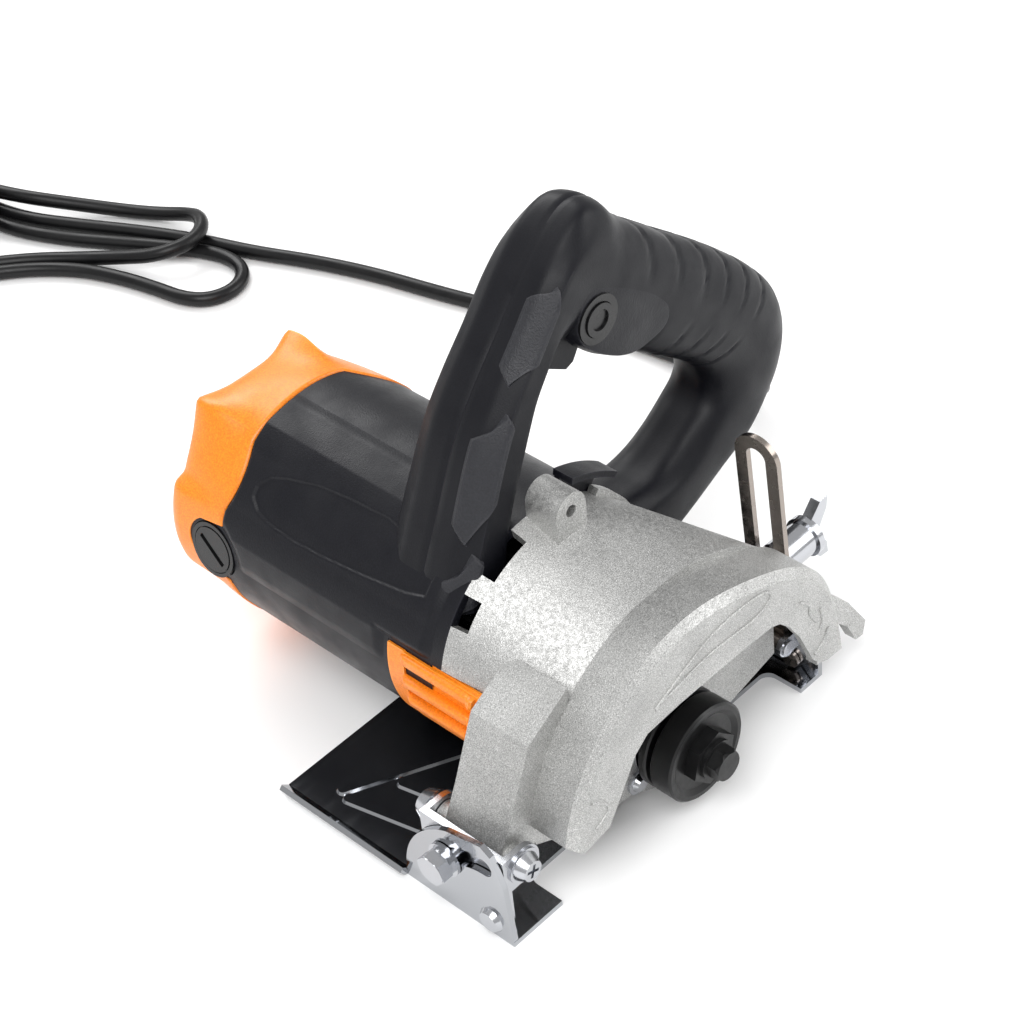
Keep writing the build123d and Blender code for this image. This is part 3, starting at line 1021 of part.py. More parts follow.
with BuildPart() as mains_plug:
    with BuildSketch(PLUG_PLANE.offset(-8)) as plug_outline:
        with BuildLine():
            Polyline((-12, -6), (10, -15), (22, -15), (22, 15), (10, 15), (-12, 6), close=True)
        make_face()
        fillet(plug_outline.vertices(), 4)
    extrude(plug_outline.sketch, amount=16)
    chamfer(mains_plug.edges().group_by(Axis.Z)[-1], 2)
    chamfer(mains_plug.edges().group_by(Axis.Z)[0], 2)
    with Locations(PLUG_PLANE.location):
        with Locations(Location((-11, 0, 0), (0, -90, 0))):
            Cone(5.6, 3.9, 24, align=(Align.CENTER, Align.CENTER, Align.MIN))
        for side in (1, -1):
            with Locations(Location((21, side * PIN_SPACING / 2, 0), (0, 90, 0))):
                Cylinder(2.3, 19, align=(Align.CENTER, Align.CENTER, Align.MIN))
write(mains_plug, "mains_plug")
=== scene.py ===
"""Looks of the hand-held stone saw: materials, moulded details, the cord, the camera and soft studio light.

Metres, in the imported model's frame: +X to the rear, +Y to the motor side, +Z up, the blade side is -Y.
"""
import json
import math

import bmesh
import bpy
from mathutils import Matrix, Vector


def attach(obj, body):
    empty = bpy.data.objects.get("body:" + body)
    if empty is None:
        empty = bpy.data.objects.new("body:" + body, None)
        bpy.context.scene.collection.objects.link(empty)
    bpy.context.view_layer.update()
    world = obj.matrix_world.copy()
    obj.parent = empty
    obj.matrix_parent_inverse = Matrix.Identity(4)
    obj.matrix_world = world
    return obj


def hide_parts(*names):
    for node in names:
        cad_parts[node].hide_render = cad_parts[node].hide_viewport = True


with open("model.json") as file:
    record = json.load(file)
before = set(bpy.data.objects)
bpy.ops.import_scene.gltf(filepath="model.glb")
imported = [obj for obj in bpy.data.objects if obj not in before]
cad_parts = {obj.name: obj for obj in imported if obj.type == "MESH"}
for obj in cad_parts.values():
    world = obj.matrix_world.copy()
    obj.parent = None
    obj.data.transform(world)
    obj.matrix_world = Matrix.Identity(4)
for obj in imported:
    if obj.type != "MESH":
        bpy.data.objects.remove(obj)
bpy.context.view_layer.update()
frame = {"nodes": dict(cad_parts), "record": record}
MM = 0.001
NODES = frame["nodes"]


# ---------------------------------------------------------------- materials
def new_material(name, color, roughness, metallic=0.0, **settings):
    """A Principled material with the given colour, roughness, metalness and other settings."""
    material = bpy.data.materials.new(name)
    material.use_nodes = True
    shader = material.node_tree.nodes["Principled BSDF"]
    shader.inputs["Base Color"].default_value = (*color, 1)
    shader.inputs["Metallic"].default_value = metallic
    shader.inputs["Roughness"].default_value = roughness
    for key, value in settings.items():
        shader.inputs[key.replace("_", " ")].default_value = value
    return material, material.node_tree, shader


def position(tree):
    """Object coordinates, in metres in the row frame at rest."""
    return tree.nodes.new("ShaderNodeTexCoord").outputs["Object"]


def noise(tree, where, scale, detail=3.0, roughness=0.5, stretch=None):
    if stretch:
        mapping = tree.nodes.new("ShaderNodeMapping")
        mapping.inputs["Scale"].default_value = stretch
        tree.links.new(where, mapping.inputs["Vector"])
        where = mapping.outputs["Vector"]
    node = tree.nodes.new("ShaderNodeTexNoise")
    node.inputs["Scale"].default_value = scale
    node.inputs["Detail"].default_value = detail
    node.inputs["Roughness"].default_value = roughness
    tree.links.new(where, node.inputs["Vector"])
    return node.outputs["Fac"]


def remap(tree, value, low, high, to_low, to_high):
    node = tree.nodes.new("ShaderNodeMapRange")
    for key, number in zip(("From Min", "From Max", "To Min", "To Max"), (low, high, to_low, to_high)):
        node.inputs[key].default_value = number
    tree.links.new(value, node.inputs["Value"])
    return node.outputs["Result"]


def ramp(tree, value, stops):
    node = tree.nodes.new("ShaderNodeValToRGB")
    while len(node.color_ramp.elements) < len(stops):
        node.color_ramp.elements.new(0.5)
    for element, (place, color) in zip(node.color_ramp.elements, stops):
        element.position = place
        element.color = (*color, 1)
    tree.links.new(value, node.inputs["Fac"])
    return node.outputs["Color"]


def bump(tree, shader, height, distance, strength=1.0):
    node = tree.nodes.new("ShaderNodeBump")
    node.inputs["Distance"].default_value = distance
    node.inputs["Strength"].default_value = strength
    tree.links.new(height, node.inputs["Height"])
    tree.links.new(node.outputs["Normal"], shader.inputs["Normal"])


def worn_edges(tree, radius=0.0012):
    """0 on flat faces and up to 1 on edges, from the bevelled normal against the true one."""
    bevel = tree.nodes.new("ShaderNodeBevel")
    bevel.inputs["Radius"].default_value = radius
    bevel.samples = 4
    geometry = tree.nodes.new("ShaderNodeNewGeometry")
    dot = tree.nodes.new("ShaderNodeVectorMath")
    dot.operation = "DOT_PRODUCT"
    tree.links.new(bevel.outputs["Normal"], dot.inputs[0])
    tree.links.new(geometry.outputs["Normal"], dot.inputs[1])
    return remap(tree, dot.outputs["Value"], 1.0, 0.8, 0.0, 1.0)


def cast_metal():
    """Sand-textured aluminium casting: grey, white and dark grains under a millimetre."""
    material, tree, shader = new_material("cast_aluminium_grain", (0.6, 0.6, 0.59), 0.42, 0.9)
    where = position(tree)
    grains = noise(tree, where, 2900, 2.0, 0.6)
    flecks = noise(tree, where, 700, 2.0, 0.7)
    cloud = noise(tree, where, 60, 3.0)
    color = ramp(tree, grains, [(0.32, (0.3, 0.3, 0.295)), (0.46, (0.47, 0.47, 0.46)),
                                (0.56, (0.56, 0.56, 0.55)), (0.7, (0.8, 0.8, 0.79))])
    mix = tree.nodes.new("ShaderNodeMix")
    mix.data_type = "RGBA"
    mix.blend_type = "MULTIPLY"
    mix.inputs["Factor"].default_value = 1.0
    tree.links.new(color, mix.inputs["A"])
    tree.links.new(ramp(tree, cloud, [(0.3, (0.84, 0.84, 0.84)), (0.7, (1, 1, 1))]), mix.inputs["B"])
    tree.links.new(mix.outputs["Result"], shader.inputs["Base Color"])
    tree.links.new(remap(tree, flecks, 0.3, 0.7, 0.4, 0.66), shader.inputs["Roughness"])
    bump(tree, shader, grains, 0.00013, 0.7)
    return material


def plated(name, color, low, high, scale=180, stretch=None, metallic=1.0):
    """Plated or polished metal, with roughness that varies in soft streaks."""
    material, tree, shader = new_material(name, color, low, metallic)
    streaks = noise(tree, position(tree), scale, 4.0, 0.6, stretch)
    tree.links.new(remap(tree, streaks, 0.3, 0.7, low, high), shader.inputs["Roughness"])
    bump(tree, shader, streaks, 0.00002, 0.5)
    return material


def moulded(name, color, roughness, grain, depth, spread=0.08, worn=None, **settings):
    """Moulded plastic or rubber with a fine grain; worn is the lighter colour of its edges."""
    material, tree, shader = new_material(name, color, roughness, 0.0, **settings)
    where = position(tree)
    fine = noise(tree, where, grain, 2.0, 0.6)
    tree.links.new(
        remap(tree, noise(tree, where, 90, 3.0), 0.3, 0.7, roughness - spread, roughness + spread),
        shader.inputs["Roughness"])
    low = tuple(c * 0.8 for c in color)
    high = tuple(min(1, c * 1.25) for c in color)
    tint = ramp(tree, fine, [(0.35, low), (0.65, high)])
    if worn:
        mix = tree.nodes.new("ShaderNodeMix")
        mix.data_type = "RGBA"
        tree.links.new(worn_edges(tree), mix.inputs["Factor"])
        tree.links.new(tint, mix.inputs["A"])
        mix.inputs["B"].default_value = (*worn, 1)
        tint = mix.outputs["Result"]
    tree.links.new(tint, shader.inputs["Base Color"])
    bump(tree, shader, fine, depth, 0.8)
    return material


MATERIALS = {
    "cast_aluminium": cast_metal(),
    "polished_steel": plated("polished_steel_sheet", (0.42, 0.43, 0.45), 0.05, 0.14, 60, (1, 6, 1)),
    "bright_zinc": plated("bright_zinc_plate", (0.50, 0.51, 0.535), 0.12, 0.26),
    "dark_nickel": plated("dark_nickel_strip", (0.33, 0.29, 0.26), 0.16, 0.32),
    "black_oxide": plated("black_oxide_steel", (0.006, 0.006, 0.0065), 0.3, 0.46, 400, None, 0.3),
    "black_plastic": moulded("black_plastic_grain", (0.0042, 0.0044, 0.0072), 0.42, 1800, 0.0001,
                             worn=(0.014, 0.014, 0.02), Specular_IOR_Level=0.26),
    "soft_grip": moulded("soft_grip_grain", (0.0036, 0.0038, 0.0062), 0.46, 2400, 0.00006,
                         worn=(0.012, 0.012, 0.017), Specular_IOR_Level=0.24),
    "gloss_black": moulded("gloss_black_plastic", (0.006, 0.006, 0.0065), 0.3, 1500, 0.00003,
                           Specular_IOR_Level=0.4),
    "orange_plastic": moulded("orange_plastic_shell", (0.93, 0.22, 0.008), 0.36, 1600, 0.00003,
                              worn=(1.0, 0.36, 0.04)),
    "cord_rubber": moulded("cord_rubber_skin", (0.004, 0.004, 0.0045), 0.36, 900, 0.00004,
                           Specular_IOR_Level=0.3),
    "bearing_steel": plated("bearing_steel_ground", (0.6, 0.6, 0.62), 0.1, 0.2),
    "gear_steel": plated("gear_steel_machined", (0.42, 0.42, 0.44), 0.25, 0.4),
    "lamination_steel": plated("lamination_steel_stack", (0.3, 0.31, 0.33), 0.35, 0.5, 300, (1, 12, 1)),
    "copper": plated("copper_winding", (0.72, 0.28, 0.12), 0.25, 0.45, 300),
    "brass_parts": plated("brass_holder", (0.75, 0.56, 0.25), 0.2, 0.35),
    "carbon": moulded("carbon_brush_block", (0.03, 0.03, 0.032), 0.6, 1500, 0.00005),
}
PAD_FINISH = moulded("pad_coarse_grain", (0.011, 0.0115, 0.0155), 0.5, 1500, 0.00025,
                     worn=(0.03, 0.03, 0.036), Specular_IOR_Level=0.45)
for part in frame["record"]["subparts"]:
    node = NODES[part["node"]]
    node.data.materials.clear()
    node.data.materials.append(MATERIALS[part["material_slot"]])


def finish_piece(piece, body, slot, *replaced, finish=None):
    piece.data.materials.append(finish or MATERIALS[slot])
    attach(piece, body)
    if replaced:
        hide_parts(*replaced)
    return piece


def catmull(points, share):
    """A point of the smooth line through these points; share runs from 0 to 1."""
    place = share * (len(points) - 1)
    i = min(int(place), len(points) - 2)
    t = place - i
    p1, p2 = points[i], points[i + 1]
    p0 = points[i - 1] if i > 0 else p1 * 2 - p2
    p3 = points[i + 2] if i + 2 < len(points) else p2 * 2 - p1
    return 0.5 * (2 * p1 + (p2 - p0) * t + (2 * p0 - 5 * p1 + 4 * p2 - p3) * t ** 2
                  + (3 * p1 - p0 - 3 * p2 + p3) * t ** 3)


def new_mesh_piece(name, points, faces, sharp_degrees=None):
    mesh = bpy.data.meshes.new(name)
    mesh.from_pydata([tuple(point) for point in points], [], faces)
    build = bmesh.new()
    build.from_mesh(mesh)
    bmesh.ops.recalc_face_normals(build, faces=build.faces)
    build.to_mesh(mesh)
    build.free()
    mesh.shade_smooth()
    if sharp_degrees:
        mesh.set_sharp_from_angle(angle=math.radians(sharp_degrees))
    piece = bpy.data.objects.new(name, mesh)
    bpy.context.scene.collection.objects.link(piece)
    return piece


# ---------------------------------------------------------------- cord
CORD_R = 0.003
GLAND_ROOT = Vector((0.117, 0.0215, 0.062))
GLAND_WAY = Vector((0.70, 0.30, -0.65)).normalized()
GLAND_LENGTH = 0.036
GLAND_END = GLAND_ROOT + GLAND_WAY * GLAND_LENGTH
# heights of the cord's line: on the floor, in the second layer and in the third
FLOOR_RUN, OVER, ON_TOP = 0.0032, 0.0096, 0.0158
CLIMB = 0.0216                                        # where the last turn has passed over its own start
CORD_RUN = [                                          # from the strain relief to the hank
    (0.1685, 0.060, 0.0115), (0.1715, 0.086, 0.0044), (0.169, 0.114, FLOOR_RUN), (0.1625, 0.141, FLOOR_RUN),
    (0.153, 0.168, FLOOR_RUN), (0.145, 0.197, FLOOR_RUN), (0.1385, 0.226, FLOOR_RUN),
    (0.1295, 0.253, FLOOR_RUN), (0.119, 0.277, FLOOR_RUN), (0.111, 0.302, FLOOR_RUN),
    (0.100, 0.327, FLOOR_RUN), (0.087, 0.352, FLOOR_RUN), (0.075, 0.378, FLOOR_RUN)]
LOWER_LOOP = [                                        # the loop that lies under the other
    (0.004, 0.386, FLOOR_RUN), (0.021, 0.370, FLOOR_RUN), (0.048, 0.352, FLOOR_RUN),
    (0.066, 0.330, FLOOR_RUN), (0.074, 0.309, FLOOR_RUN), (0.078, 0.291, FLOOR_RUN),
    (0.080, 0.278, FLOOR_RUN), (0.085, 0.269, FLOOR_RUN), (0.094, 0.265, FLOOR_RUN),
    (0.103, 0.267, FLOOR_RUN), (0.109, 0.274, FLOOR_RUN), (0.110, 0.284, FLOOR_RUN),
    (0.107, 0.295, FLOOR_RUN), (0.100, 0.309, FLOOR_RUN), (0.090, 0.327, FLOOR_RUN),
    (0.077, 0.350, FLOOR_RUN), (0.067, 0.376, FLOOR_RUN)]
UPPER_LOOP = [                                        # comes back over the incoming cord
    (0.009, 0.397, FLOOR_RUN), (0.018, 0.385, FLOOR_RUN), (0.034, 0.371, FLOOR_RUN),
    (0.057, 0.352, FLOOR_RUN), (0.073, 0.331, 0.0036), (0.082, 0.316, 0.0056),
    (0.087, 0.306, 0.0076), (0.093, 0.299, OVER),
    (0.102, 0.296, 0.0102), (0.111, 0.299, 0.0102), (0.117, 0.307, 0.0098), (0.117, 0.317, 0.0068),
    (0.113, 0.329, 0.0040), (0.106, 0.343, 0.0036), (0.094, 0.362, 0.0060), (0.080, 0.382, OVER)]
COIL_CENTER = Vector((0.036, 0.409, 0))
TURN_OUTER, TURN_INNER = 0.0362, 0.0300
POINTS_PER_TURN = 16
END_R = 0.024
PLUG_HEIGHT = 0.0266


def coil_points(turns, from_r, to_r, from_z, to_z, from_angle=0.0):
    """Points round the coil, anticlockwise, starting on its rear side."""
    count = round(turns * POINTS_PER_TURN)
    points = []
    for i in range(count + 1):
        share = i / count
        angle = math.radians(from_angle) + 2 * math.pi * turns * share
        radius = from_r + (to_r - from_r) * share
        points.append(COIL_CENTER + Vector((radius * math.cos(angle), radius * math.sin(angle),
                                            from_z + (to_z - from_z) * share)))
    return points


def cord_points():
    points = [GLAND_END, GLAND_END + GLAND_WAY * 0.022, *CORD_RUN]
    points += coil_points(0.5, TURN_OUTER, TURN_OUTER, FLOOR_RUN, FLOOR_RUN) + LOWER_LOOP
    points += coil_points(0.5, TURN_INNER, TURN_INNER, FLOOR_RUN, FLOOR_RUN) + UPPER_LOOP
    points += coil_points(0.75, TURN_OUTER, TURN_OUTER, OVER, OVER)
    points += coil_points(0.25, TURN_OUTER, TURN_INNER, OVER, OVER, 270)[1:]
    points += coil_points(0.75, TURN_INNER, TURN_INNER, OVER, OVER)[1:]
    points += coil_points(0.25, TURN_INNER, TURN_INNER, OVER, ON_TOP, 270)[1:]
    points += coil_points(0.75, TURN_INNER, TURN_INNER, ON_TOP, ON_TOP)[1:]
    points += coil_points(0.25, TURN_INNER, TURN_OUTER, ON_TOP, ON_TOP, 270)[1:]
    points += coil_points(0.625, TURN_OUTER, TURN_OUTER, ON_TOP, ON_TOP)[1:]
    points += coil_points(0.375, TURN_OUTER, TURN_OUTER, ON_TOP, CLIMB, 225)[1:]
    end_center = COIL_CENTER + Vector((TURN_OUTER - END_R, 0, 0))
    for share in (0.4, 0.8, 1):                       # a last step of half length keeps the end's bend even
        angle = math.pi / 2 * share
        height = CLIMB + (PLUG_HEIGHT - CLIMB) * share
        points.append(end_center + Vector((END_R * math.cos(angle), END_R * math.sin(angle), height)))
    return points


def nurbs_curve(name, points, radius, resolution=6):
    data = bpy.data.curves.new(name, "CURVE")
    data.dimensions = "3D"
    data.bevel_depth = radius
    data.bevel_resolution = 5
    data.resolution_u = resolution
    data.use_fill_caps = True
    spline = data.splines.new("NURBS")
    spline.points.add(len(points) - 1)
    for target, point in zip(spline.points, points):
        target.co = (*point, 1)
    spline.order_u = 3
    spline.use_endpoint_u = True
    piece = bpy.data.objects.new(name, data)
    bpy.context.scene.collection.objects.link(piece)
    return piece


# along a plug pin, from the plug's face to the tip: place on X and radius
PIN_STATIONS = [(-0.0078, 0.0022), (-0.0078, 0.00238), (-0.0252, 0.00238),
                (-0.0262, 0.0021), (-0.0268, 0.0014), (-0.0270, 0.0002)]


def make_pin(name, y):
    """A bright plug pin with a rounded tip, over the plug's moulded one."""
    ring, points, faces = 24, [], []
    for x, radius in PIN_STATIONS:
        for k in range(ring):
            angle = 2 * math.pi * k / ring
            points.append(Vector((x, y + radius * math.cos(angle), PLUG_HEIGHT + radius * math.sin(angle))))
    for i in range(len(PIN_STATIONS) - 1):
        for k in range(ring):
            after = (k + 1) % ring
            faces.append((i * ring + k, i * ring + after, (i + 1) * ring + after, (i + 1) * ring + k))
    last = (len(PIN_STATIONS) - 1) * ring
    faces.append(tuple(range(last, last + ring)))
    return finish_piece(new_mesh_piece(name, points, faces, 40), "saw_body", "bright_zinc")


plug_pins = [make_pin("plug_pin_1", 0.4235), make_pin("plug_pin_2", 0.4425)]
cord_line = nurbs_curve("cord_line", cord_points(), CORD_R)
finish_piece(cord_line, "saw_body", "cord_rubber", "power_cord", "cord_hank")

# ---------------------------------------------------------------- handle
HANDLE_MID_Y = 0.017
HANDLE_HALF = 0.014
HANDLE_SECTIONS = 300
RING_POINTS = 72
# side view in mm (X, Z): the outer line and, across from it, the inner line, front foot to rear foot
HANDLE_PAIRS = [
    ((-36, 76), (-8, 80)), ((-33.4, 84.7), (-8.5, 90)), ((-24.5, 104), (-4, 104)),
    ((-14.3, 125.5), (4.5, 120.5)),
    ((-4, 139.5), (10, 131.5)), ((8.5, 153.5), (14.5, 138)), ((20, 167), (17, 141.5)),
    ((30.5, 176.8), (20, 142.6)), ((41, 181.8), (24.5, 141.6)), ((50, 178.4), (30.5, 137.8)),
    ((58.5, 167.6), (37.5, 133)), ((75, 153), (52.5, 121.5)), ((92, 138.8), (66.5, 109.5)),
    ((106, 126.5), (77, 101.5)), ((118, 114.6), (85.5, 94)), ((127.5, 102), (90.5, 87)),
    ((131.5, 88), (91.5, 80.5)), ((129.5, 75), (89, 75)), ((123, 64.5), (83, 70.5)), ((113, 54.5), (74, 65)),
    ((99, 48), (64, 61)), ((85, 40.5), (53, 61)), ((70, 33), (41, 62))]


OUTER_LINE = [Vector((outer[0], 0, outer[1])) * MM for outer, inner in HANDLE_PAIRS]
INNER_LINE = [Vector((inner[0], 0, inner[1])) * MM for outer, inner in HANDLE_PAIRS]


def smooth_step(low, high, value):
    t = min(1, max(0, (value - low) / (high - low)))
    return t * t * (3 - 2 * t)


def bell(distance, width):
    return math.exp(-(distance / width) ** 2)


LEG_END, GRIP_START = 0.30, 0.44     # shares of the handle's length
RIB_SHARES = [0.475 + 0.034 * i for i in range(6)]


def handle_radius(share, angle):
    """Radius of the handle's section: eight flat facets on the legs, rounded on the grip."""
    c, s = abs(math.cos(angle)), abs(math.sin(angle))
    facets = (c ** 40 + s ** 40 + ((c + s) / 1.58) ** 40) ** (-1 / 40)
    rounded = (c ** 2.6 + s ** 2.6) ** (-1 / 2.6)
    grip = smooth_step(LEG_END, GRIP_START, share) * (1 - 0.45 * smooth_step(0.74, 0.86, share))
    return facets + (rounded - facets) * grip


def handle_point(share, angle, lift=0.0):
    """A point of the handle's surface; angle 0 is outwards and 90 degrees the motor side."""
    outer, inner = catmull(OUTER_LINE, share), catmull(INNER_LINE, share)
    middle, reach = (outer + inner) / 2, (outer - inner) / 2
    radius = handle_radius(share, angle)
    grooves = 0.00055 * bell(math.sin(angle) * math.cos(angle / 2) * HANDLE_HALF, 0.00045)
    if abs(math.cos(angle)) > 0.2:
        side = smooth_step(0.1, 0.5, abs(math.cos(angle)))
        for rib in RIB_SHARES:
            bow = 0.012 * math.cos(angle) ** 2
            grooves += 0.00055 * side * bell(share - rib + bow - 0.012, 0.0022)
    length = reach.length
    away = reach.normalized() * (length * radius * math.cos(angle))
    half = (HANDLE_HALF + 0.0028 * (1 - smooth_step(0.0, 0.24, share))
            + 0.0012 * (1 - smooth_step(0.24, 0.40, share)))
    away += Vector((0, half * radius * math.sin(angle), 0))
    point = middle + away + Vector((0, HANDLE_MID_Y, 0))
    return point + away.normalized() * (lift - grooves)


def make_handle():
    points, faces = [], []
    for i in range(HANDLE_SECTIONS):
        for k in range(RING_POINTS):
            points.append(handle_point(i / (HANDLE_SECTIONS - 1), 2 * math.pi * k / RING_POINTS))
    for i in range(HANDLE_SECTIONS - 1):
        for k in range(RING_POINTS):
            after = (k + 1) % RING_POINTS
            faces.append((i * RING_POINTS + k, i * RING_POINTS + after,
                          (i + 1) * RING_POINTS + after, (i + 1) * RING_POINTS + k))
    faces.append(tuple(range(RING_POINTS)))
    last = (HANDLE_SECTIONS - 1) * RING_POINTS
    faces.append(tuple(reversed(range(last, last + RING_POINTS))))
    piece = new_mesh_piece("handle_shell", points, faces, 30)
    return finish_piece(piece, "saw_body", "soft_grip", "handle_blade_side", "handle_motor_side")


make_handle()


# raised six-sided pads on the front leg's chamfer: middle and half length as shares of the handle's length,
# and half width in degrees
PAD_SPOTS = [(0.240, 0.040, 26), (0.126, 0.041, 26), (0.036, 0.032, 24)]
PAD_ANGLE = 314
PAD_RISE = 0.0014


def make_pad(number, share, half_share, half_angle):
    """A low pad with pointed ends that follows the leg and stands a millimetre proud of it."""
    rows, cols = 24, 14
    points, faces = [], []
    for i in range(rows + 1):
        v = 2 * i / rows - 1
        width = half_angle * min(1, 0.12 + 2.6 * (1 - abs(v)))
        for k in range(cols + 1):
            u = 2 * k / cols - 1
            angle = math.radians(PAD_ANGLE + width * u)
            edge = min(1, (1 - abs(u)) * 7, (1 - abs(v)) * 14)
            points.append(handle_point(share + half_share * (v - 0.22 * u), angle, PAD_RISE * edge - 0.0003))
    for i in range(rows):
        for k in range(cols):
            a = i * (cols + 1) + k
            faces.append((a, a + 1, a + cols + 2, a + cols + 1))
    piece = new_mesh_piece("leg_pad_%d" % number, points, faces, 25)
    return finish_piece(piece, "saw_body", "black_plastic", finish=PAD_FINISH)


for number, spot in enumerate(PAD_SPOTS):
    make_pad(number + 1, *spot)


# flat raised plate round the lock button, and the edge of the soft rubber on the grip, side view in mm
BUTTON_PLATE = [(27.5, 142.5), (31.0, 156.5), (36.5, 158.6), (50.5, 150.6), (62.6, 141.0), (70.0, 131.6),
                (67.0, 125.0), (54.0, 123.6), (46.5, 126.2), (38.5, 131.8)]
PLATE_FACE, PLATE_BACK = 0.0030, 0.0080


def make_button_plate():
    """A low plate with rounded corners; its rim leans back into the grip."""
    middle = sum((Vector((x, 0, z)) for x, z in BUTTON_PLATE), Vector()) / len(BUTTON_PLATE) * MM
    corners = [Vector((x, 0, z)) * MM for x, z in BUTTON_PLATE]
    outline = []
    for i, corner in enumerate(corners):
        before, after = corners[i - 1], corners[(i + 1) % len(corners)]
        start, end = corner.lerp(before, 0.4), corner.lerp(after, 0.4)
        for k in range(5):
            t = k / 4
            outline.append(start * (1 - t) ** 2 + corner * 2 * t * (1 - t) + end * t ** 2)
    points, faces = [], []
    for y, grow in ((PLATE_BACK, 0.0016), (PLATE_FACE + 0.0006, 0.0003),
                    (PLATE_FACE + 0.0001, 0), (PLATE_FACE, -0.0006)):
        for place in outline:
            points.append(place + (place - middle).normalized() * grow + Vector((0, y, 0)))
    count = len(outline)
    for row in range(3):
        for k in range(count):
            after = (k + 1) % count
            faces.append((row * count + k, row * count + after,
                          (row + 1) * count + after, (row + 1) * count + k))
    faces.append(tuple(range(count)))
    faces.append(tuple(range(3 * count, 4 * count)))
    piece = new_mesh_piece("button_plate", points, faces, 35)
    return finish_piece(piece, "saw_body", "black_plastic")


make_button_plate()

# ---------------------------------------------------------------- motor housing, end cap and vent
SHELL_X, SHELL_Z, SHELL_R = -0.0026, 0.0533, 0.044
BRUSH_AXIS = Vector((-0.0026, 0.1048, 0.04866))
BRUSH_SLOPE = math.radians(9.2)
CAP_LOBES = ((138, 0.122, 0.025), (40, 0.114, 0.024), (222, 0.120, 0.022), (300, 0.116, 0.024))
CAP_HORNS = ((119, 10, 12, 0.0046), (68, 6, 7, 0.0046), (236, 10, 10, 0.0030), (312, 10, 10, 0.0026))


def shell_point(degrees, y, radius):
    angle = math.radians(degrees)
    return Vector((SHELL_X + radius * math.cos(angle), y, SHELL_Z + radius * math.sin(angle)))


def brush_distance(degrees, y=None):
    """How far a point of the shell is from the axis through both brushes, or only across it."""
    offset = shell_point(degrees, 0.1048 if y is None else y, SHELL_R) - BRUSH_AXIS
    across = offset.x * math.sin(BRUSH_SLOPE) + offset.z * math.cos(BRUSH_SLOPE)
    return math.hypot(across, offset.y)


def seam_y(degrees):
    """Front edge of the end cap: scalloped, and stepping back round the brush caps."""
    y = 0.100
    for angle, center_y, radius in CAP_LOBES:
        across = SHELL_R * math.sin(math.radians(degrees - angle))
        if math.cos(math.radians(degrees - angle)) > 0 and abs(across) < radius:
            y = min(y, center_y - math.sqrt(radius ** 2 - across ** 2))
    across = brush_distance(degrees)
    if across < 0.0113:
        y = max(y, 0.1048 + math.sqrt(0.0113 ** 2 - across ** 2))
    return y


CAP_TAPER = 0.0030


def horn_rise(degrees, share):
    """Height over the seam's radius: the cap narrows to the rear between its soft ridges."""
    rise = 0
    for angle, front_width, back_width, height in CAP_HORNS:
        turn = (degrees - angle + 180) % 360 - 180
        width = back_width if turn > 0 else front_width
        rise += height * math.exp(-(abs(turn) / width) ** 1.25)
    taper = CAP_TAPER * share ** 1.6 * max(0, 1 - rise / 0.0046)
    return (rise * smooth_step(0.05, 0.95, share)
            - taper * smooth_step(0.0146, 0.0200, brush_distance(degrees)))


def make_end_cap():
    """The orange end cap: soft ridges, a rounded rim and a ring of air slots in the end wall."""
    cols, side_rows = 180, 14
    rim = [(0.1235, -0.0004, 1.0), (0.1252, -0.0010, 1.0), (0.1266, -0.0024, 0.93), (0.1273, -0.0044, 0.8),
           (0.1272, -0.0080, 0.35)]
    wall = [0.0315, 0.0285, 0.0215, 0.0145, 0.0115, 0.006]
    rings = []
    for row in range(side_rows + 1):
        share = row / side_rows
        ring = []
        for k in range(cols):
            degrees = 360 * k / cols
            start = seam_y(degrees) + 0.0001
            y = start + (0.1215 - start) * share
            ring.append(shell_point(degrees, y, SHELL_R + 0.0004 + horn_rise(degrees, share)))
        rings.append(ring)
    for y, inset, keep in rim:
        rings.append([shell_point(360 * k / cols, y + 0.3 * keep * horn_rise(360 * k / cols, 1),
                                  SHELL_R + 0.0004 + inset + keep * horn_rise(360 * k / cols, 1))
                      for k in range(cols)])
    for radius in wall:
        rings.append([shell_point(360 * k / cols, 0.1268, radius) for k in range(cols)])
    points = [point for ring in rings for point in ring]
    points.append(Vector((SHELL_X, 0.1268, SHELL_Z)))
    faces = []
    slot_rows = {side_rows + len(rim) + 2, side_rows + len(rim) + 3}
    for row in range(len(rings) - 1):
        for k in range(cols):
            if row in slot_rows and k % 15 < 9:
                continue
            after = (k + 1) % cols
            faces.append((row * cols + k, row * cols + after,
                          (row + 1) * cols + after, (row + 1) * cols + k))
    last = (len(rings) - 1) * cols
    for k in range(cols):
        faces.append((last + k, last + (k + 1) % cols, len(points) - 1))
    piece = new_mesh_piece("end_cap_shell", points, faces, 40)
    skin = piece.modifiers.new("wall", "SOLIDIFY")
    skin.thickness = 0.0022
    skin.offset = -1
    return finish_piece(piece, "saw_body", "orange_plastic", "motor_end_cap")


# the long leaf-shaped panel on the housing's front side: (y in mm, its upper and its lower angle)
LEAF = [(12, 129, 141), (20, 124, 144), (38, 121, 147), (54, 122, 149), (68, 124, 150), (80, 128, 149),
        (86, 131, 147), (90, 137, 142)]


